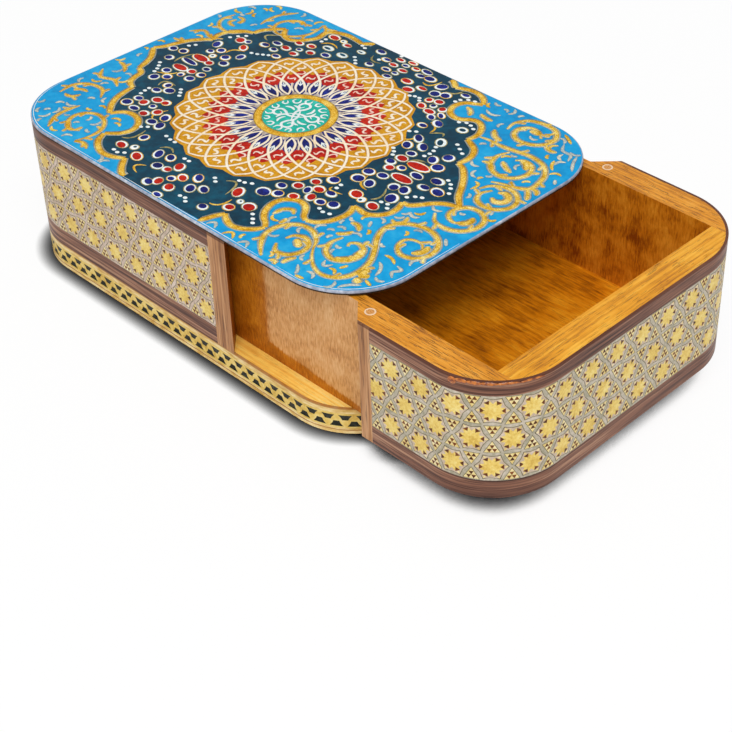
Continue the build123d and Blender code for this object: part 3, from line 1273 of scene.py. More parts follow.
def fields(polygons, layer, paint_name):
    """Flat fields of paint with their upper face in one layer."""
    sheet = bmesh.new()
    for polygon in polygons:
        sheet.faces.new([sheet.verts.new((*on_plate(x, y, rim_width), 0.0)) for x, y in polygon])
    thicken(sheet, layer_height(layer), plate_face - field_sunk)
    return settled("field", sheet, [paints[paint_name]])


def painting(name, layers):
    """One object from layers of paint."""
    whole = bmesh.new()
    finishes = []
    for layer in layers:
        finish = next(coat for coat in layer.materials if coat)
        if finish not in finishes:
            finishes.append(finish)
        before = len(whole.faces)
        whole.from_mesh(layer)
        whole.faces.ensure_lookup_table()
        for face in whole.faces[before:]:
            face.material_index = finishes.index(finish)
        bpy.data.meshes.remove(layer)
    bmesh.ops.scale(whole, vec=(MM, MM, MM), verts=whole.verts[:])
    bmesh.ops.recalc_face_normals(whole, faces=whole.faces[:])
    dress(put(name, settled(name, whole, finishes)), "case", "painted_top")


print("brushes ready")

# %% [markdown]
# ## The medallion
# A scalloped medallion in dark teal lies on the blue ground, drawn freehand and almost as wide as the
# plate. A thick gold line with a pale edge runs round it, in two halves, because the long edges of the
# plate cut it off. No rule gives its lobes, so each is a short list of points with a soft line through it.

# %% The medallion's field and outline
medallion_lobes = [
    [(12.2, 54.3), (14.5, 52.6), (16.6, 51.0)],
    [(16.6, 51.0), (19.0, 52.2), (22.5, 53.2), (26.0, 52.6), (28.6, 51.0), (30.2, 49.0)],
    [(30.2, 49.0), (28.2, 47.9), (25.6, 46.3), (24.2, 43.8), (24.3, 41.0), (26.0, 38.4), (29.0, 37.2),
     (31.6, 37.9), (33.6, 39.5), (36.2, 40.2), (39.0, 38.6), (41.0, 35.4), (41.3, 32.6), (40.9, 30.2)],
    [(40.9, 30.2), (43.5, 29.0), (46.4, 27.2), (48.2, 24.2), (48.6, 21.2), (48.2, 18.4)],
    [(48.2, 18.4), (51.0, 17.2), (54.4, 14.0), (57.6, 9.8), (60.6, 5.2), (64.6, 1.4)],
    [(64.6, 1.4), (60.4, -0.2), (57.6, -2.6), (55.4, -5.6), (53.4, -7.7), (51.0, -8.0)],
    [(51.0, -8.0), (52.2, -11.2), (52.2, -14.6), (50.4, -17.6), (47.4, -19.3), (44.4, -19.0),
     (42.2, -18.9)],
    [(42.2, -18.9), (43.6, -21.4), (43.9, -24.6), (42.8, -28.8), (40.6, -31.8), (37.8, -33.2)],
    [(37.8, -33.2), (35.8, -32.2), (34.2, -30.2), (32.2, -28.3), (29.4, -27.6), (26.6, -28.8),
     (24.7, -31.2), (24.4, -34.2), (25.6, -37.6), (27.8, -40.2), (30.2, -41.8), (32.0, -43.6)],
    [(32.0, -43.6), (30.4, -46.2), (27.6, -48.4), (24.2, -49.3), (20.8, -48.1), (18.6, -46.6)],
    [(18.6, -46.6), (17.4, -49.0), (16.4, -52.0), (15.4, -54.3)],
    [(-18.2, -54.3), (-21.6, -52.0), (-24.2, -49.4), (-25.8, -47.4)],
    [(-25.8, -47.4), (-29.4, -49.4), (-33.2, -50.0), (-37.2, -48.5), (-40.2, -46.0), (-41.8, -42.6)],
    [(-41.8, -42.6), (-39.8, -40.9), (-38.0, -38.8), (-37.2, -35.8), (-38.2, -32.8), (-40.8, -30.4),
     (-44.0, -29.5), (-47.0, -30.1), (-49.0, -32.0), (-50.2, -34.0)],
    [(-50.2, -34.0), (-52.4, -32.2), (-54.8, -29.4), (-56.6, -26.0), (-57.6, -22.2), (-58.0, -19.0)],
    [(-58.0, -19.0), (-61.2, -17.4), (-62.8, -14.4), (-63.6, -11.2), (-66.6, -9.4)],
    [(-66.6, -9.4), (-68.0, -5.4), (-69.8, -2.0), (-74.0, 2.4)],
    [(-74.0, 2.4), (-72.0, 5.6), (-70.6, 10.2), (-69.0, 14.0), (-66.4, 17.4), (-64.0, 19.4)],
    [(-64.0, 19.4), (-65.2, 22.0), (-65.0, 25.2), (-63.4, 28.2), (-60.8, 30.6), (-57.8, 31.8)],
    [(-57.8, 31.8), (-57.2, 34.8), (-55.0, 38.0), (-52.0, 41.0)],
    [(-52.0, 41.0), (-51.0, 39.6), (-49.0, 37.6), (-46.0, 36.8), (-43.0, 38.2), (-41.0, 41.0),
     (-39.6, 44.0), (-40.2, 48.2), (-38.6, 50.4), (-34.0, 52.0), (-29.6, 51.8), (-26.0, 51.2)],
    [(-26.0, 51.2), (-22.6, 54.3)],
]
medallion_field = [point for lobe in medallion_lobes for point in smooth(lobe, 1.0)[:-1]]
medallion_field += [Vector((-22.6, 54.3)), Vector((-18.0, 54.9)), Vector((10.0, 54.9))]
near_ends = [n for n, point in enumerate(medallion_field) if point.y < -54.0]
medallion_field.insert(near_ends[0] + 1, Vector((15.0, -54.9)))
medallion_field.insert(near_ends[0] + 2, Vector((-17.8, -54.9)))
painting("painted_medallion", [
    fields([medallion_field], 2, "teal"),
    strokes(medallion_lobes, 2.8, 3, "pearl", ends=0.8),
    strokes(medallion_lobes, 2.0, 6, "gold", ends=0.8),
])

# %% [markdown]
# ## The rosette
# The rosette is built by rule, so the script draws it by rule. Twenty-four pointed petals stand round a
# ring. Each is nearly four times as wide as the step to the next one, and only their outlines are drawn.
# Where outlines cross they make rows of cells, and the rows are coloured by turns: navy spindles at the
# ring, then red, then ochre. The ring sits a little off the centre of the petals, as it does on a
# hand-painted plate.

# %% The rule of the petals
petal_count = 24
petal_step = 360 / petal_count
first_petal = 5.0
ring_centre, petal_centre = Vector((-7.4, 4.5)), Vector((-7.8, 3.8))
ring_edge, petal_tip = 13.4, 36.9
# Radius, and half the petal's width there in steps from petal to petal
petal_half_widths = [(ring_edge, 1.46), (15.2, 1.72), (17.5, 1.82), (21.0, 1.66), (25.0, 1.36), (29.0, 1.02),
                     (32.5, 0.68), (35.2, 0.36), (petal_tip, 0.0)]
spindle_half_widths = [(13.0, 0.24), (15.0, 0.43), (17.6, 0.5), (20.2, 0.4), (23.6, 0.0)]


def polar(radius, degrees):
    """A point of the rosette, whose centre drifts from the ring's to the petals' with the radius."""
    share = (radius - ring_edge) / (petal_tip - ring_edge)
    return ring_centre.lerp(petal_centre, min(1.0, max(0.0, share))) + around(radius, degrees)


def petal_arc(petal, side):
    """One side of one petal, from the ring to the tip."""
    middle = first_petal + petal * petal_step
    return [polar(radius, middle + side * width * petal_step) for radius, width in petal_half_widths]


def wavy_disc(radius, swell, turn, points=6):
    """A disc whose edge swells once for each petal."""
    edge = []
    for n in range(petal_count * points):
        degrees = first_petal + turn + n * petal_step / points
        wave = abs(2 * (n / points % 1) - 1)
        edge.append(polar(radius + swell * wave, degrees))
    return edge


def spindle(petal):
    """The narrow leaf between two crossing outlines, next to the ring."""
    middle = first_petal + (petal + 0.5) * petal_step
    right, left = [], []
    for radius, width in spindle_half_widths:
        right.append(polar(radius, middle - width * petal_step))
        left.append(polar(radius, middle + width * petal_step))
    return right + left[-2:0:-1]


petals = range(petal_count)
petal_arcs = [petal_arc(petal, side) for petal in petals for side in (-1, 1)]
print(len(petal_arcs), "petal outlines")

# %% Fields, outlines and small marks of the rosette
marks_dice = random.Random(11)


def squiggle(radius, degrees, size):
    """A quick zigzag mark that lightens a cell."""
    place = polar(radius, degrees)
    out = around(1, degrees + marks_dice.uniform(-25, 25))
    side = Vector((-out.y, out.x)) * marks_dice.choice((-1, 1))
    steps = ((-0.8, -0.6), (0.1, -0.75), (-0.1, 0.1), (0.2, 0.65), (0.9, 0.5))
    return [place + (out * along + side * across) * size for along, across in steps]


def feather(degrees):
    """Three short white strokes that fan out over the outer half of a spindle."""
    return [[polar(18.4 + 0.4 * abs(lean), degrees + 0.3 * lean), polar(19.8, degrees + 1.5 * lean),
             polar(21.6 - 0.7 * abs(lean), degrees + 2.4 * lean)] for lean in (-1, 0, 1)]


half_steps = [first_petal + (petal + 0.5) * petal_step for petal in petals]
whole_steps = [first_petal + petal * petal_step for petal in petals]
ochre_marks = [squiggle(33.4, d, 1.7) for d in whole_steps] + [squiggle(30.2, d, 1.8) for d in half_steps]
red_marks = [squiggle(26.4, d, 1.9) for d in half_steps] + [squiggle(23.6, d, 1.6) for d in whole_steps]
white_marks = [stroke for d in half_steps for stroke in feather(d)]
gaps = [[polar(14.6, d), polar(17.6, d + 1), polar(20.6, d)] for d in whole_steps]
roundel_radius, ring_radius = 11.0, 11.8
ring_line = [ring_centre + around(ring_radius, 10 * n) for n in range(37)]
painting("painted_rosette", [
    fields([wavy_disc(36.4, 1.5, 0.0)], 4, "ochre"),
    fields([wavy_disc(26.0, 2.6, petal_step / 2)], 5, "red"),
    fields([wavy_disc(18.6, 2.2, 0.0)], 6, "taupe"),
    fields([spindle(petal) for petal in petals], 7, "navy"),
    strokes(gaps, 0.45, 7, "cream"),
    strokes(petal_arcs, 0.92, 8, "cream", ends=0.7),
    strokes(ochre_marks, 0.95, 8, "cream"),
    strokes(red_marks, 0.72, 8, "blush"),
    strokes(white_marks, 0.45, 9, "white"),
    fields([[ring_centre + around(roundel_radius, 6 * n) for n in range(60)]], 8, "turquoise"),
    strokes([ring_line], 2.7, 9, "gold", ends=1.0),
])

# %% [markdown]
# ## The knot in the middle
# A turquoise roundel fills the ring, with white arms that branch, curl and cross like a knot. One arm is
# drawn and turned four times, and small hooked strokes fill the rim.

# %% White arms on the roundel
knot_arm = [
    [(-2.6, -1.6), (-0.6, 0.6), (1.6, 1.9), (4.0, 1.3), (6.0, 1.5), (6.8, 3.2), (5.6, 4.8), (3.8, 4.4),
     (3.6, 3.0), (4.8, 2.8)],
    [(1.8, -1.8), (3.4, -3.0), (5.6, -2.6)],
    [(1.2, 3.0), (1.4, 5.0), (0.2, 6.6)],
]
hook_radius = 9.6


def turned(line, degrees):
    """A line of the roundel, turned about the ring's centre."""
    return [ring_centre + Vector(point) @ Matrix.Rotation(math.radians(degrees), 2) for point in line]


def hook(degrees, size):
    """A small hooked stroke near the roundel's rim."""
    foot = ring_centre + around(hook_radius, degrees)
    steps = ((0.0, -0.9), (-1.2, -0.6), (-1.5, 0.5), (-0.4, 1.0), (0.3, 0.3))
    out, side = around(size, degrees), around(size, degrees + 90)
    return [foot + out * along + side * across for along, across in steps]


arms = [turned(line, 90 * n + 12) for n in range(4) for line in knot_arm]
hooks = [hook(14 + 24 * n, 0.95 + 0.2 * (n % 3)) for n in range(15)]
painting("painted_knot", [
    strokes(arms, 0.95, 10, "white"),
    strokes(hooks, 0.7, 10, "white"),
])

# %% [markdown]
# ## Sprays of flowers
# Small oval petals lie in sprays between the rosette and the gold line. Each is a white dab with a
# smaller dab of navy or red on it, a little off centre, so the white shows as a thin uneven line. Under
# the white lies a thin ring of olive or gold, and tendrils of the same two colours and rows of white dots
# run between the petals. They are placed one by one: where they are (x, y), half their length and width,
# and their slant.

# %% Where the petals lie
navy_petals = [
    (3, 52, 2.4, 1.3, -10), (3, 48.8, 1.8, 1.2, 0), (7, 49.5, 2.2, 1.6, 0), (13, 48.2, 2.2, 1.8, 45),
    (14.5, 43.8, 2, 1.8, 0), (17.7, 45.3, 1.9, 1.7, 0), (22.5, 49.3, 1.8, 1.2, 0),
    (19.5, 37.8, 1.2, 1.2, 0), (25.3, 35.2, 1.8, 1.1, -30), (23.5, 32.5, 1.8, 1.3, -30),
    (27.8, 30.8, 2.2, 1.5, -30), (25, 27, 1.7, 1.3, 0), (29.8, 20.5, 2.4, 1.5, -40),
    (34, 17.7, 2.4, 1.5, -40), (29.8, 15.7, 2.2, 1.6, -40), (41.5, 14.7, 2.2, 1.6, -50),
    (44.2, 18.5, 1.9, 1.9, 0), (45.5, 12.3, 2.2, 2, 0), (34.3, 12.8, 1.8, 1.5, 0),
    (33, 5.3, 1.8, 1.5, 0), (37.7, 5, 1.5, 1.3, 0), (44, 5, 2.5, 1.6, -10), (50.8, 7, 2.3, 1.7, 0),
    (54.5, 2.8, 2.4, 1.8, -20), (49.8, 1.8, 2, 1.4, 0), (36.8, -1.7, 2, 1.6, 0), (32.3, -3, 2, 1.8, 0),
    (43.3, -3.7, 1.8, 1.8, 0), (47, -3, 2.2, 1.7, -50), (32.3, -7.5, 2.2, 2, 0),
    (36.9, -7.3, 2.2, 1.7, -50), (47.3, -8.5, 2.5, 2, -50), (28, -13.3, 2, 1.8, 0),
    (33, -19, 1.9, 1.4, 0), (26.5, -22, 1.9, 1.4, -60), (33.6, -23.9, 1.8, 1.5, 0),
    (37.7, -22.5, 2, 1.8, 0), (19.2, -25.7, 1.8, 1.5, 0), (21.5, -29.3, 1.8, 1.7, 0),
    (17.7, -31.3, 2.4, 2.1, 0), (11.2, -48.7, 1.7, 1.5, 0), (-1.3, -39.7, 2.2, 1.5, -45),
    (4.3, -42.5, 2.1, 1.5, -30), (1, -44.8, 2.2, 1.7, -45), (-7, -45, 1.5, 1.3, 0),
    (-11, -51, 2, 1.5, -30), (-3.3, -53.3, 1.8, 1.2, 0), (-16, -38, 2, 1.5, -40),
    (-15.5, -43.5, 2, 1.7, 0), (-20.5, -39, 2.4, 1.6, -60), (-31, -36, 1.7, 1.5, 90),
    (-36.8, -28.5, 2, 1.6, 0), (-33, -28.5, 2.1, 1.7, -60), (-35.5, -24, 2, 1.6, -50),
    (-43.8, -22.3, 1.3, 1.2, 0), (-51.3, -22, 1.7, 1.4, 0), (-52, -26, 2, 1.8, 0),
    (-47.5, -26.8, 2, 1.4, 0), (-48, -12.5, 2, 1.7, 0), (-51, -10.5, 1.5, 1.4, 90),
    (-51, -15, 1.8, 1.4, 0), (-58.5, -10, 1.8, 1.8, 0), (-55.5, -7, 1.7, 1.5, 0),
    (-59, -4.5, 1.7, 1.5, 0), (-49.3, -3, 1.8, 1.6, 0), (-53.5, -3, 1.2, 1.2, 0),
    (-58, 4.3, 3.6, 1.3, 0), (-69, 6.5, 1.7, 1.5, 0), (-65, 7.7, 1.7, 1.5, 0), (-65, 1.7, 1.6, 1.5, 0),
    (-60.5, 18.5, 2.2, 1.6, -60), (-56.3, 16.3, 1.6, 1.5, 0), (-58.5, 13.5, 1.5, 1.2, 0),
    (-48.3, 17.8, 1.8, 1.5, 90), (-51.5, 14, 1.7, 1.6, 0), (-48.8, 11, 1.8, 1.6, 0),
    (-50, 4.8, 1.6, 1.3, 0), (-48.5, 1, 1.6, 1.4, 0), (-54.5, 26.3, 1.3, 1.2, 0),
    (-46.5, 32.3, 2, 1.3, 0), (-49, 28.7, 1.8, 1.3, 0), (-44.3, 28.5, 1.6, 1.2, 0),
    (-38, 34.3, 1.2, 1, 0), (-40.3, 26, 1.7, 1.2, 0), (-29, 37.6, 1.9, 1.4, 0), (-17.3, 51.5, 2, 1.3, 0),
    (-12.5, 49, 1.7, 1.1, 0), (-14.3, 43, 1.6, 1.2, 0), (-5, 50.5, 1.5, 1, 0), (-8, 44.5, 1.8, 1.1, 0),
    (-4, 44.5, 1.3, 1, 0), (-4.5, 41.3, 1.8, 1.2, 0),
]
red_petals = [
    (2.5, 43.5, 2.2, 1.5, 0), (9, 43.2, 2, 1.2, 0), (6.5, 40, 2.2, 1.6, 0), (16, 39.6, 1.4, 1.4, 0),
    (19, 40.8, 1.8, 1.5, 0), (23.2, 38, 1.5, 1.5, 0), (16.5, 35.5, 1.9, 1.4, -30),
    (20.8, 34.5, 2.2, 1.5, 0), (34, 9, 2.2, 1.7, 0), (41, 9, 4.2, 2, 0), (34.8, 2.8, 1.7, 1.6, 0),
    (41.8, 1, 4, 2, 0), (38.2, -14, 2.4, 1.9, -20), (46, -15.2, 2.3, 1.8, -20),
    (24.8, -17.2, 1.8, 1.6, 0), (28.5, -19.4, 2, 1.6, 0), (22.7, -22.3, 1.9, 1.7, 0),
    (29.8, -24.2, 2, 1.6, -50), (26, -27.2, 1.8, 1.6, 0), (12.8, -36.5, 2.6, 1.8, -60),
    (20.8, -39.5, 2.3, 2, 0), (16.7, -43.7, 1.8, 1.6, 0), (-10, -39.5, 2.2, 1.7, -60),
    (-12, -42.8, 1.6, 1.4, 0), (-5, -42.5, 2, 1.5, -30), (-9, -48.7, 2, 1.6, -60),
    (-3.8, -48.8, 2, 1.7, -30), (-24.2, -44.2, 2.5, 1.7, -25), (-32.8, -43, 2.2, 1.6, -10),
    (-42.5, -26.7, 1.8, 1.5, 0), (-40, -23.7, 1.7, 1.7, 0), (-47.8, -22.5, 1.7, 1.7, 0),
    (-46, -18.7, 2.1, 1.7, 0), (-42.5, -18, 1.6, 1.4, 0), (-57, -0.3, 3.2, 1.8, 0),
    (-52.5, 0.5, 1.7, 1.5, 0), (-57, 8.3, 3.6, 1.9, 0), (-52.8, 8, 1.7, 1.5, 0),
    (-57, 25.5, 2, 1.8, -30), (-52.3, 22.5, 2, 1.4, -45), (-42, 32, 1.9, 1.4, 0),
    (-41.2, 37.3, 1.7, 1.3, 0), (-37, 38.6, 1.7, 1.3, 0), (-34, 35.5, 1.7, 1.3, 0),
    (-37.3, 31.2, 1.7, 1.3, 0), (-35.8, 48.2, 2.3, 1.5, 0), (-28.8, 47, 1.7, 1.2, 0),
    (-8.7, 52, 1.8, 1.1, 0), (-4.3, 53.3, 1.8, 1, 0), (-8.3, 48.2, 1.8, 1.2, 0),
    (-3.5, 47.3, 1.9, 1.2, 0), (-1, 51, 1.6, 1, 0),
]
white_petals = [
    (36, 33.2, 1.9, 1.6, 0), (36.3, 23.5, 2.4, 1.7, -45), (41.5, -15, 1.3, 1.3, 0),
    (17, -39.5, 1.2, 1, -30), (-28.7, -41.5, 1.3, 1.3, 0), (-55.5, 12, 1.2, 1.2, 0),
    (-31.8, 41.5, 2.2, 1.4, 0), (-25, 41.2, 2.1, 1.4, 0), (-31.5, 48.2, 1.2, 0.9, 0),
    (-22, 47, 1.7, 1, 0),
]
print(len(navy_petals) + len(red_petals) + len(white_petals), "petals")

# %% Rows of white dots, and tendrils
dot_half_long, dot_half_wide = 0.74, 0.62
dot_rows = [
    (-53.8, -15.7), (-53.6, -17.6), (-53.1, -19.6), (-45.8, -9.4), (-44.4, -10.8), (-43.1, -12.3),
    (-26.8, -30.8), (-24.4, -31.3), (-22.2, -31.3), (-32.2, -46.5), (-30.2, -46.8), (-28.4, -45.5),
    (8.3, -32.3), (10.2, -31.9), (12.2, -30.8), (2.0, -36.2), (3.6, -37.4), (-10.7, -35.4),
    (-12.7, -35.4), (2.0, -49.3), (3.9, -49.0), (5.4, -50.2), (24.4, -41.4), (26.3, -43.0),
    (27.8, -44.4), (36.0, -26.4), (38.0, -27.0), (40.2, -26.4), (50.0, -5.2), (51.6, -3.4), (53.4, -2.4),
    (52.5, 9.5), (54.5, 8.4), (56.0, 6.8), (57.5, 4.5), (40.7, 26.0), (43.0, 24.6), (45.3, 23.2),
    (37.0, 20.5), (38.0, 18.5), (38.3, 16.5), (38.0, 14.5), (28.0, 11.5), (29.5, 10.2), (30.6, 8.6),
    (32.0, 36.0), (34.0, 37.3), (36.0, 37.0), (38.0, 36.0), (22.5, 44.5), (23.0, 46.3), (24.8, 48.0),
    (27.0, 48.7), (9.5, 37.4), (11.0, 38.2), (12.8, 38.4), (13.9, 37.2), (-19.5, 41.8), (-21.2, 43.2),
    (-18.0, 40.4), (-25.0, 50.4), (-23.2, 49.8), (-37.0, 45.2), (-36.9, 43.2), (-47.8, 22.0),
    (-45.8, 22.8), (-44.2, 23.8), (-42.6, 24.8), (-58.0, 28.7), (-59.8, 26.7), (-61.2, 24.4),
    (-65.4, 13.1), (-66.6, 11.2), (-64.6, -2.6), (-63.2, -4.2), (-62.0, -5.8), (-61.2, -7.6),
    (-35.2, -31.2), (-36.8, -32.6), (-10.4, 54.0), (-14.2, 47.4), (46.4, -12.0), (48.6, -11.6),
    (50.0, -13.2), (31.5, -13.6), (31.8, -15.6), (24.6, 21.8), (26.4, 23.0),
]
dots = [(x, y, dot_half_long, dot_half_wide, 0) for x, y in dot_rows]
tendrils = [
    [(30, 25), (32.8, 27.6), (34.2, 26.4)], [(26.6, 17.8), (28.2, 18.6), (29.2, 22.4)],
    [(37, 8), (37.6, 11), (41, 12.2)], [(33.8, -5), (35, -9), (38.8, -10.4)],
    [(42.5, -6), (44.4, -10), (43.2, -13)], [(30.5, -16), (31.4, -17.6), (35.4, -16.8)],
    [(5.6, -35), (9, -34), (11, -40)], [(14.4, -40.4), (13.8, -44.6), (11, -46)],
    [(-17.8, -35.6), (-20.6, -34.4), (-23, -36.4)], [(-18, -45.6), (-20.4, -48), (-17, -50)],
    [(-34, -33), (-33.6, -38), (-36.2, -40.4)], [(-38, -27), (-39.6, -25), (-38.4, -20.6)],
    [(-49, -9), (-53.4, -9.4), (-53.2, -12.6)], [(-55.4, -3), (-56.4, -5.2), (-60.6, -7.4)],
    [(-61.6, 1), (-62.2, 4.4), (-61, 8.6)], [(-50, 21), (-53.6, 19.4), (-54, 16.4)],
    [(-50.6, 31.4), (-53.4, 33.4), (-50.6, 36)], [(-36, 42), (-33.4, 44.4), (-29.6, 43.4)],
    [(-12, 46), (-15.6, 45.6), (-17.4, 48.2)], [(6.6, 46.4), (9.6, 46.4), (11, 50.6)],
    [(16, 47), (19, 48), (20, 51)], [(25.8, 30), (29, 28.6), (29.8, 25.4)],
]
print(len(dots), "dots,", len(tendrils), "tendrils")

# %% Paint the sprays
petal_dice = random.Random(5)
heart_drift, heart_turn = 0.36, 8
least_heart = (0.4, 0.35)
ring_width = 0.3


def petal_hearts(petals_placed, line_width):
    """The coloured dabs on white petals: smaller all round, and a little off centre."""
    hearts = []
    for x, y, half_long, half_wide, slant in petals_placed:
        x += petal_dice.uniform(-heart_drift, heart_drift)
        y += petal_dice.uniform(-heart_drift, heart_drift)
        slant += petal_dice.uniform(-heart_turn, heart_turn)
        long, wide = max(least_heart[0], half_long - line_width), max(least_heart[1], half_wide - line_width)
        hearts.append((x, y, long, wide, slant))
    return hearts


all_petals = navy_petals + red_petals + white_petals
rings = [(x, y, half_long + ring_width, half_wide + ring_width, slant)
         for x, y, half_long, half_wide, slant in all_petals]
painting("painted_sprays", [
    strokes(tendrils[::2], 0.75, 3, "olive"),
    strokes(tendrils[1::2], 0.75, 3, "gold"),
    dabs(rings[::3] + rings[1::3], 3, "olive"),
    dabs(rings[2::3], 3.5, "gold"),
    dabs(all_petals, 6, "white"),
    dabs(petal_hearts(navy_petals, 0.36), 9, "navy"),
    dabs(petal_hearts(red_petals, 0.36), 9, "red"),
    dabs(petal_hearts(white_petals, 0.75), 9, "teal"),
    dabs(dots, 6, "white"),
])

# %% [markdown]
# ## Gold scrolls on the blue
# Outside the medallion the blue ground is filled with scrolls: stems that roll up into spirals, with
# bulbs, leaves and loose commas between them. The stems are thick gold strokes on slightly wider pale
# ones, which leave a light edge on both sides of the gold. Stems, bulbs and leaves are placed one by one.
# The short pointed leaves along the stems and the smallest commas follow rules.

# %% Stems, bulbs and leaves of the right-hand end
thick_stems = [
    [(49.5, -41.5), (52, -44.3), (55.5, -47), (59.5, -48.3), (63.5, -47), (66, -43.5), (66.3, -39),
     (65, -34.5), (62, -30), (58.8, -26), (56.8, -21.5), (57.5, -17.3), (61, -14.2), (66, -13),
     (70.5, -14.2), (74, -17.5), (75, -22), (73, -25.8), (69, -27), (65.8, -25), (64.7, -22),
     (66, -19.8), (69.5, -19.3), (72, -21.5)],
    [(51.5, -32), (50.8, -36), (52.8, -39.8), (56.8, -41.3), (60.3, -39.3), (61.5, -35.6), (60, -32.3),
     (57, -31.2), (55, -32.6), (55.6, -34.2)],
    [(49.5, -41.5), (47, -38), (43, -35.6), (38.6, -35.8), (35.3, -38.5), (34, -42.5), (35, -46.8),
     (38, -50.5), (41.5, -53.5)],
    [(40, -46.5), (42.8, -49.3), (46.5, -48.3), (48.3, -44.8), (47.3, -41), (44, -39.3), (41, -40.6),
     (40.2, -43.2)],
    [(42.5, 34), (46, 34.6), (50, 34.4), (55, 35), (61, 36), (67, 34.8), (71, 31), (72.6, 26.5),
     (72.8, 22.5), (70, 20.3), (65, 18.8), (62, 17.5)],
    [(55, 33.5), (53.8, 29.5), (55, 25), (58.3, 22.2), (62.5, 21.6), (66, 24), (67.2, 28), (65.3, 31.8),
     (61.8, 33), (59.3, 31.2)],
    [(61.5, -5.5), (64.5, -8.7), (69, -9.3), (73, -7.5), (75.3, -3.5), (74.5, 1), (71, 3.5), (66.8, 3),
     (64.5, -0.3), (65.3, -4), (68.5, -5.5), (71.5, -3.8)],
    [(62, 12.5), (63.5, 15.8), (67, 18), (71, 17.8), (74.5, 15), (75.3, 11), (73, 7.5), (69, 6.3),
     (65.5, 7.6), (64, 10.8), (65.5, 14.3)],
    [(45.5, 43), (44.8, 47.5), (47.3, 51.5), (52, 53), (57, 52.3), (60.2, 48.5), (59.8, 44), (56.5, 41),
     (52, 40.4), (48.8, 42.5), (48.2, 46), (50.5, 48.5), (54, 48.3), (56.8, 45.8)],
    [(43, 40.3), (45.5, 37.5), (49, 36.6)],
]
bulbs = [
    [(59.6, -33), (60.9, -36.2), (59.4, -39.2), (57, -40.2)], [(42.5, -41.5), (44.5, -42.4), (46, -44)],
    [(60.5, 32.3), (63.5, 31.5), (65, 29)],
    [(67.5, 14.5), (69.5, 15.6), (71.8, 14.3), (72, 11.8), (70, 10.4), (67.8, 11.3)],
    [(51.5, 46.6), (53, 47.5), (55, 46.8)], [(67.3, -41.8), (67.8, -39.8), (67.4, -37.8)],
    [(68, -42.2), (69, -41), (70.3, -40.2)], [(67.8, -43.4), (69, -43.6), (70.3, -44.4)],
    [(70.6, -24.5), (72.6, -22), (71.8, -19)], [(69.4, -5), (71.8, -3), (71.2, 0)],
]
leaves = [
    [(48.5, -31.8), (50.5, -30.5), (51.5, -28)], [(47.8, -25.5), (50.2, -25), (52.5, -27)],
    [(48.6, -52), (48.2, -50), (49.4, -47.6)], [(44.6, -53.6), (46, -52.6), (47.4, -54)],
    [(55, -16.3), (57, -17), (58.5, -14.8), (57.5, -12.3)],
    [(28.5, -37.5), (28.8, -34), (31, -32.2), (33, -33.5)],
    [(32.8, -36.4), (33.5, -37.5), (33.2, -39.4)], [(57, 28.3), (59.5, 26.5), (63, 25)],
    [(52.5, 24), (55.5, 24.5), (58.5, 21.5)], [(72, 22), (74.5, 19.5), (76, 17)],
    [(72.8, 22.5), (75, 22.6), (76.4, 20.8)], [(60.4, 44), (63, 42.4), (65.4, 43)],
    [(27.4, 44.6), (30, 43.4), (31.6, 41)], [(33.6, 44.4), (36.2, 43.4), (39, 43.6)],
]
print(len(thick_stems), "stems,", len(bulbs), "bulbs,", len(leaves), "leaves")

# %% Commas, and the paler scrolls of the far end
commas = [
    [(66, -30.2), (68.5, -30), (71, -31.5)], [(67.3, -33.5), (69.8, -35.5), (71, -38.8)],
    [(72.2, -31.5), (74.5, -32.3), (73.2, -34.5), (75, -36.5)], [(62.3, -40.5), (61.5, -43)],
    [(56, -43), (57.5, -45), (59, -43)], [(52, -49.5), (54, -51.5), (54.5, -53)],
    [(55, -53.3), (58, -53)], [(65, -48), (66, -50), (64.7, -52.5)],
    [(67.5, -49.5), (69, -46.5), (71.5, -44.5)], [(70.5, -42), (73.5, -43)], [(51.5, -21), (53, -23.5)],
    [(72.8, -13), (75.2, -15.5)], [(58.5, 14.5), (60.5, 13.5), (60.3, 10.5)], [(72.8, 6.5), (73.8, 4.3)],
    [(75, 31), (76.5, 29)], [(68, 39), (69, 36.5), (71, 34.5)],
    [(64, 48), (66, 45), (69.5, 44.5), (71, 41.5)], [(71.5, 45), (73, 41.5), (75.5, 38)],
    [(60.5, 52.6), (63, 51.2), (65.4, 49.6)], [(33, 47.5), (36, 46.3), (38.5, 47.8)],
    [(18.5, -53.5), (20, -51.5), (22, -53.5)], [(25.5, -53.8), (27.3, -51.5), (29.5, -53.5)],
    [(32, -54), (33.8, -51.8), (35.5, -54)],
]
far_end = [
    [(-44.8, -51.5), (-43.6, -47), (-44, -42.5), (-47, -38.6), (-51.5, -37), (-55.5, -38.8),
     (-57, -42.5), (-55.3, -46.3), (-51.8, -48.6), (-48.5, -46.8)],
    [(-55, -45.5), (-52.5, -48), (-49.5, -47.5)],
    [(-44.5, -52), (-42, -50.5), (-38.5, -52)],
    [(-70.5, -36), (-67.5, -35.8), (-66.3, -33)],
    [(-60.8, -37.5), (-61.5, -42), (-60.8, -47), (-57.5, -52)],
    [(-60, -30), (-64, -26.4), (-69.6, -27), (-73, -31), (-72.4, -36.6)],
    [(-62, -22), (-66, -20), (-71, -21.6), (-74.6, -18)],
    [(-68, -14.6), (-71, -12), (-74.6, -11.4)],
    [(-66, -30.6), (-69, -31), (-70, -33)],
]
far_corner = [[(x, -y) for x, y in line] for line in far_end]
print(len(commas), "commas,", len(far_end) + len(far_corner), "strokes at the far end")

# %% Small strokes that follow a rule
comma_dice = random.Random(23)
comma_tries = 2600
comma_room = 1.95
comma_reach = (76, 53)
comma_margin = 2.0


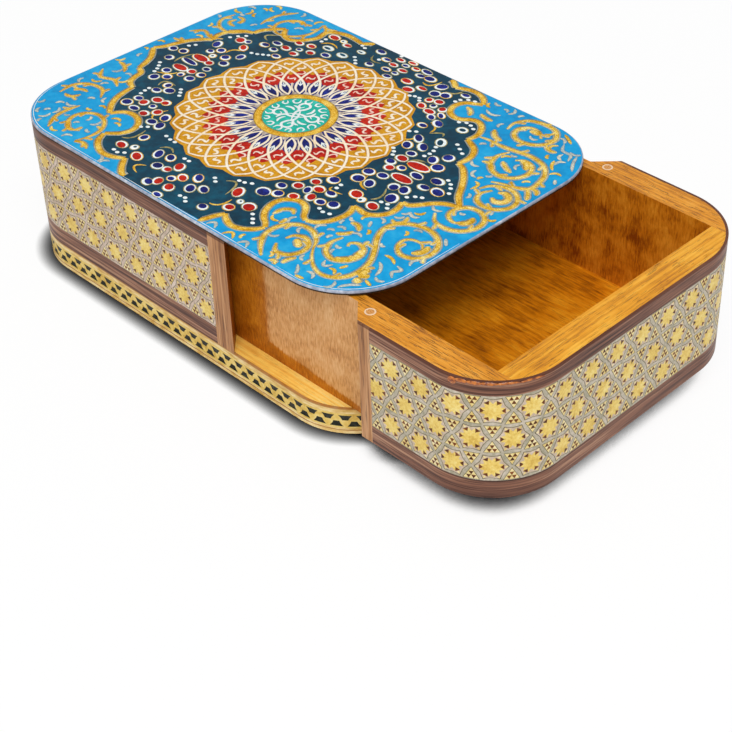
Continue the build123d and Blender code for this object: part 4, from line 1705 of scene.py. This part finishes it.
def off_medallion(x, y):
    """True where a point lies outside the medallion's field."""
    crossings = 0
    for a, b in zip(medallion_field, medallion_field[1:] + medallion_field[:1]):
        if (a.y > y) != (b.y > y) and x < a.x + (y - a.y) * (b.x - a.x) / (b.y - a.y):
            crossings += 1
    return crossings % 2 == 0


def loose_commas(drawn):
    """Small hooked strokes wherever the blue ground has room for one."""
    taken = [point for line in drawn for point in smooth(line, 1.0)] + medallion_field
    made = []
    for _ in range(comma_tries):
        spot = Vector([comma_dice.uniform(-reach, reach) for reach in comma_reach])
        if on_plate(*spot, comma_margin) != tuple(spot) or not off_medallion(*spot):
            continue
        if min((spot - point).length for point in taken) < comma_room:
            continue
        heading = comma_dice.uniform(0, 360)
        size = comma_dice.uniform(0.9, 2.0)
        along, aside = around(size, heading), around(0.6 * size, heading + 90)
        comma = [spot - along, spot + aside, spot + along]
        made.append(comma)
        taken += comma
    return made


def barbs(lines, gap, reach):
    """Short pointed leaves that leave a stem forwards, now on one side and now on the other."""
    made = []
    for line in lines:
        path = smooth(line, 1.0)
        for number, n in enumerate(range(gap // 2, len(path) - 2, gap)):
            forward = (path[n + 1] - path[n - 1]).normalized()
            aside = Vector((-forward.y, forward.x)) * (1 if number % 2 else -1)
            middle = path[n] + (0.6 * forward + 0.5 * aside) * reach
            tip = path[n] + (0.8 * forward + aside) * reach
            made.append([path[n], middle, tip])
    return made


thorns = barbs(thick_stems, gap=10, reach=2.6)
far_thorns = barbs(far_end + far_corner, gap=7, reach=2.3)
drawn_lines = thick_stems + thorns + bulbs + leaves + commas + far_end + far_corner + far_thorns
all_commas = commas + loose_commas(drawn_lines)
print(len(thorns) + len(far_thorns), "short leaves,", len(all_commas), "commas")

# %% Paint the scrolls
pale_edge = 1.0
# A painted highlight: a thin white line just inside the rim, on three stretches of it, stands for the shine
# along the rim's lacquer
rim_inset, rim_stretch, rim_starts = 0.95, 66, (-92, -22, 48)
rim_highlights = [[outline_point(along, rim_inset) for along in range(start, start + rim_stretch, 3)]
             for start in rim_starts]
scroll_lines = {1.55: thick_stems, 2.2: bulbs, 1.3: leaves, 0.85: thorns}
scroll_layers = []
for number, (brush, lines) in enumerate(scroll_lines.items()):
    scroll_layers.append(strokes(lines, brush + pale_edge, 3 + 0.8 * number, "pearl", ends=0.4))
    scroll_layers.append(strokes(lines, brush, 6.2 + number, "leaf_gold"))
painting("painted_scrolls", scroll_layers + [
    strokes(all_commas[::3], 1.15, 6, "leaf_gold"),
    strokes(all_commas[1::3] + all_commas[2::3], 1.15, 6, "pearl"),
    strokes(far_thorns, 1.6, 3.5, "pearl"),
    strokes(far_thorns, 0.8, 6.5, "gold"),
    strokes(far_end, 2.0, 4, "pearl"),
    strokes(far_end, 1.2, 7, "gold"),
    strokes(far_corner, 1.8, 4, "pearl"),
    strokes(far_corner, 1.0, 7, "gold"),
    # Painted highlight along the rim
    strokes(rim_highlights, 0.24, 2, "white"),
])

# %% [markdown]
# ## Putting the patterns away
# The tiles, the teeth and the dab were only patterns for the recipes, so they go.

# %% Put the patterns away
for made in (*slice_objects.values(), tooth_tile, dab_dome):
    bpy.data.objects.remove(made)
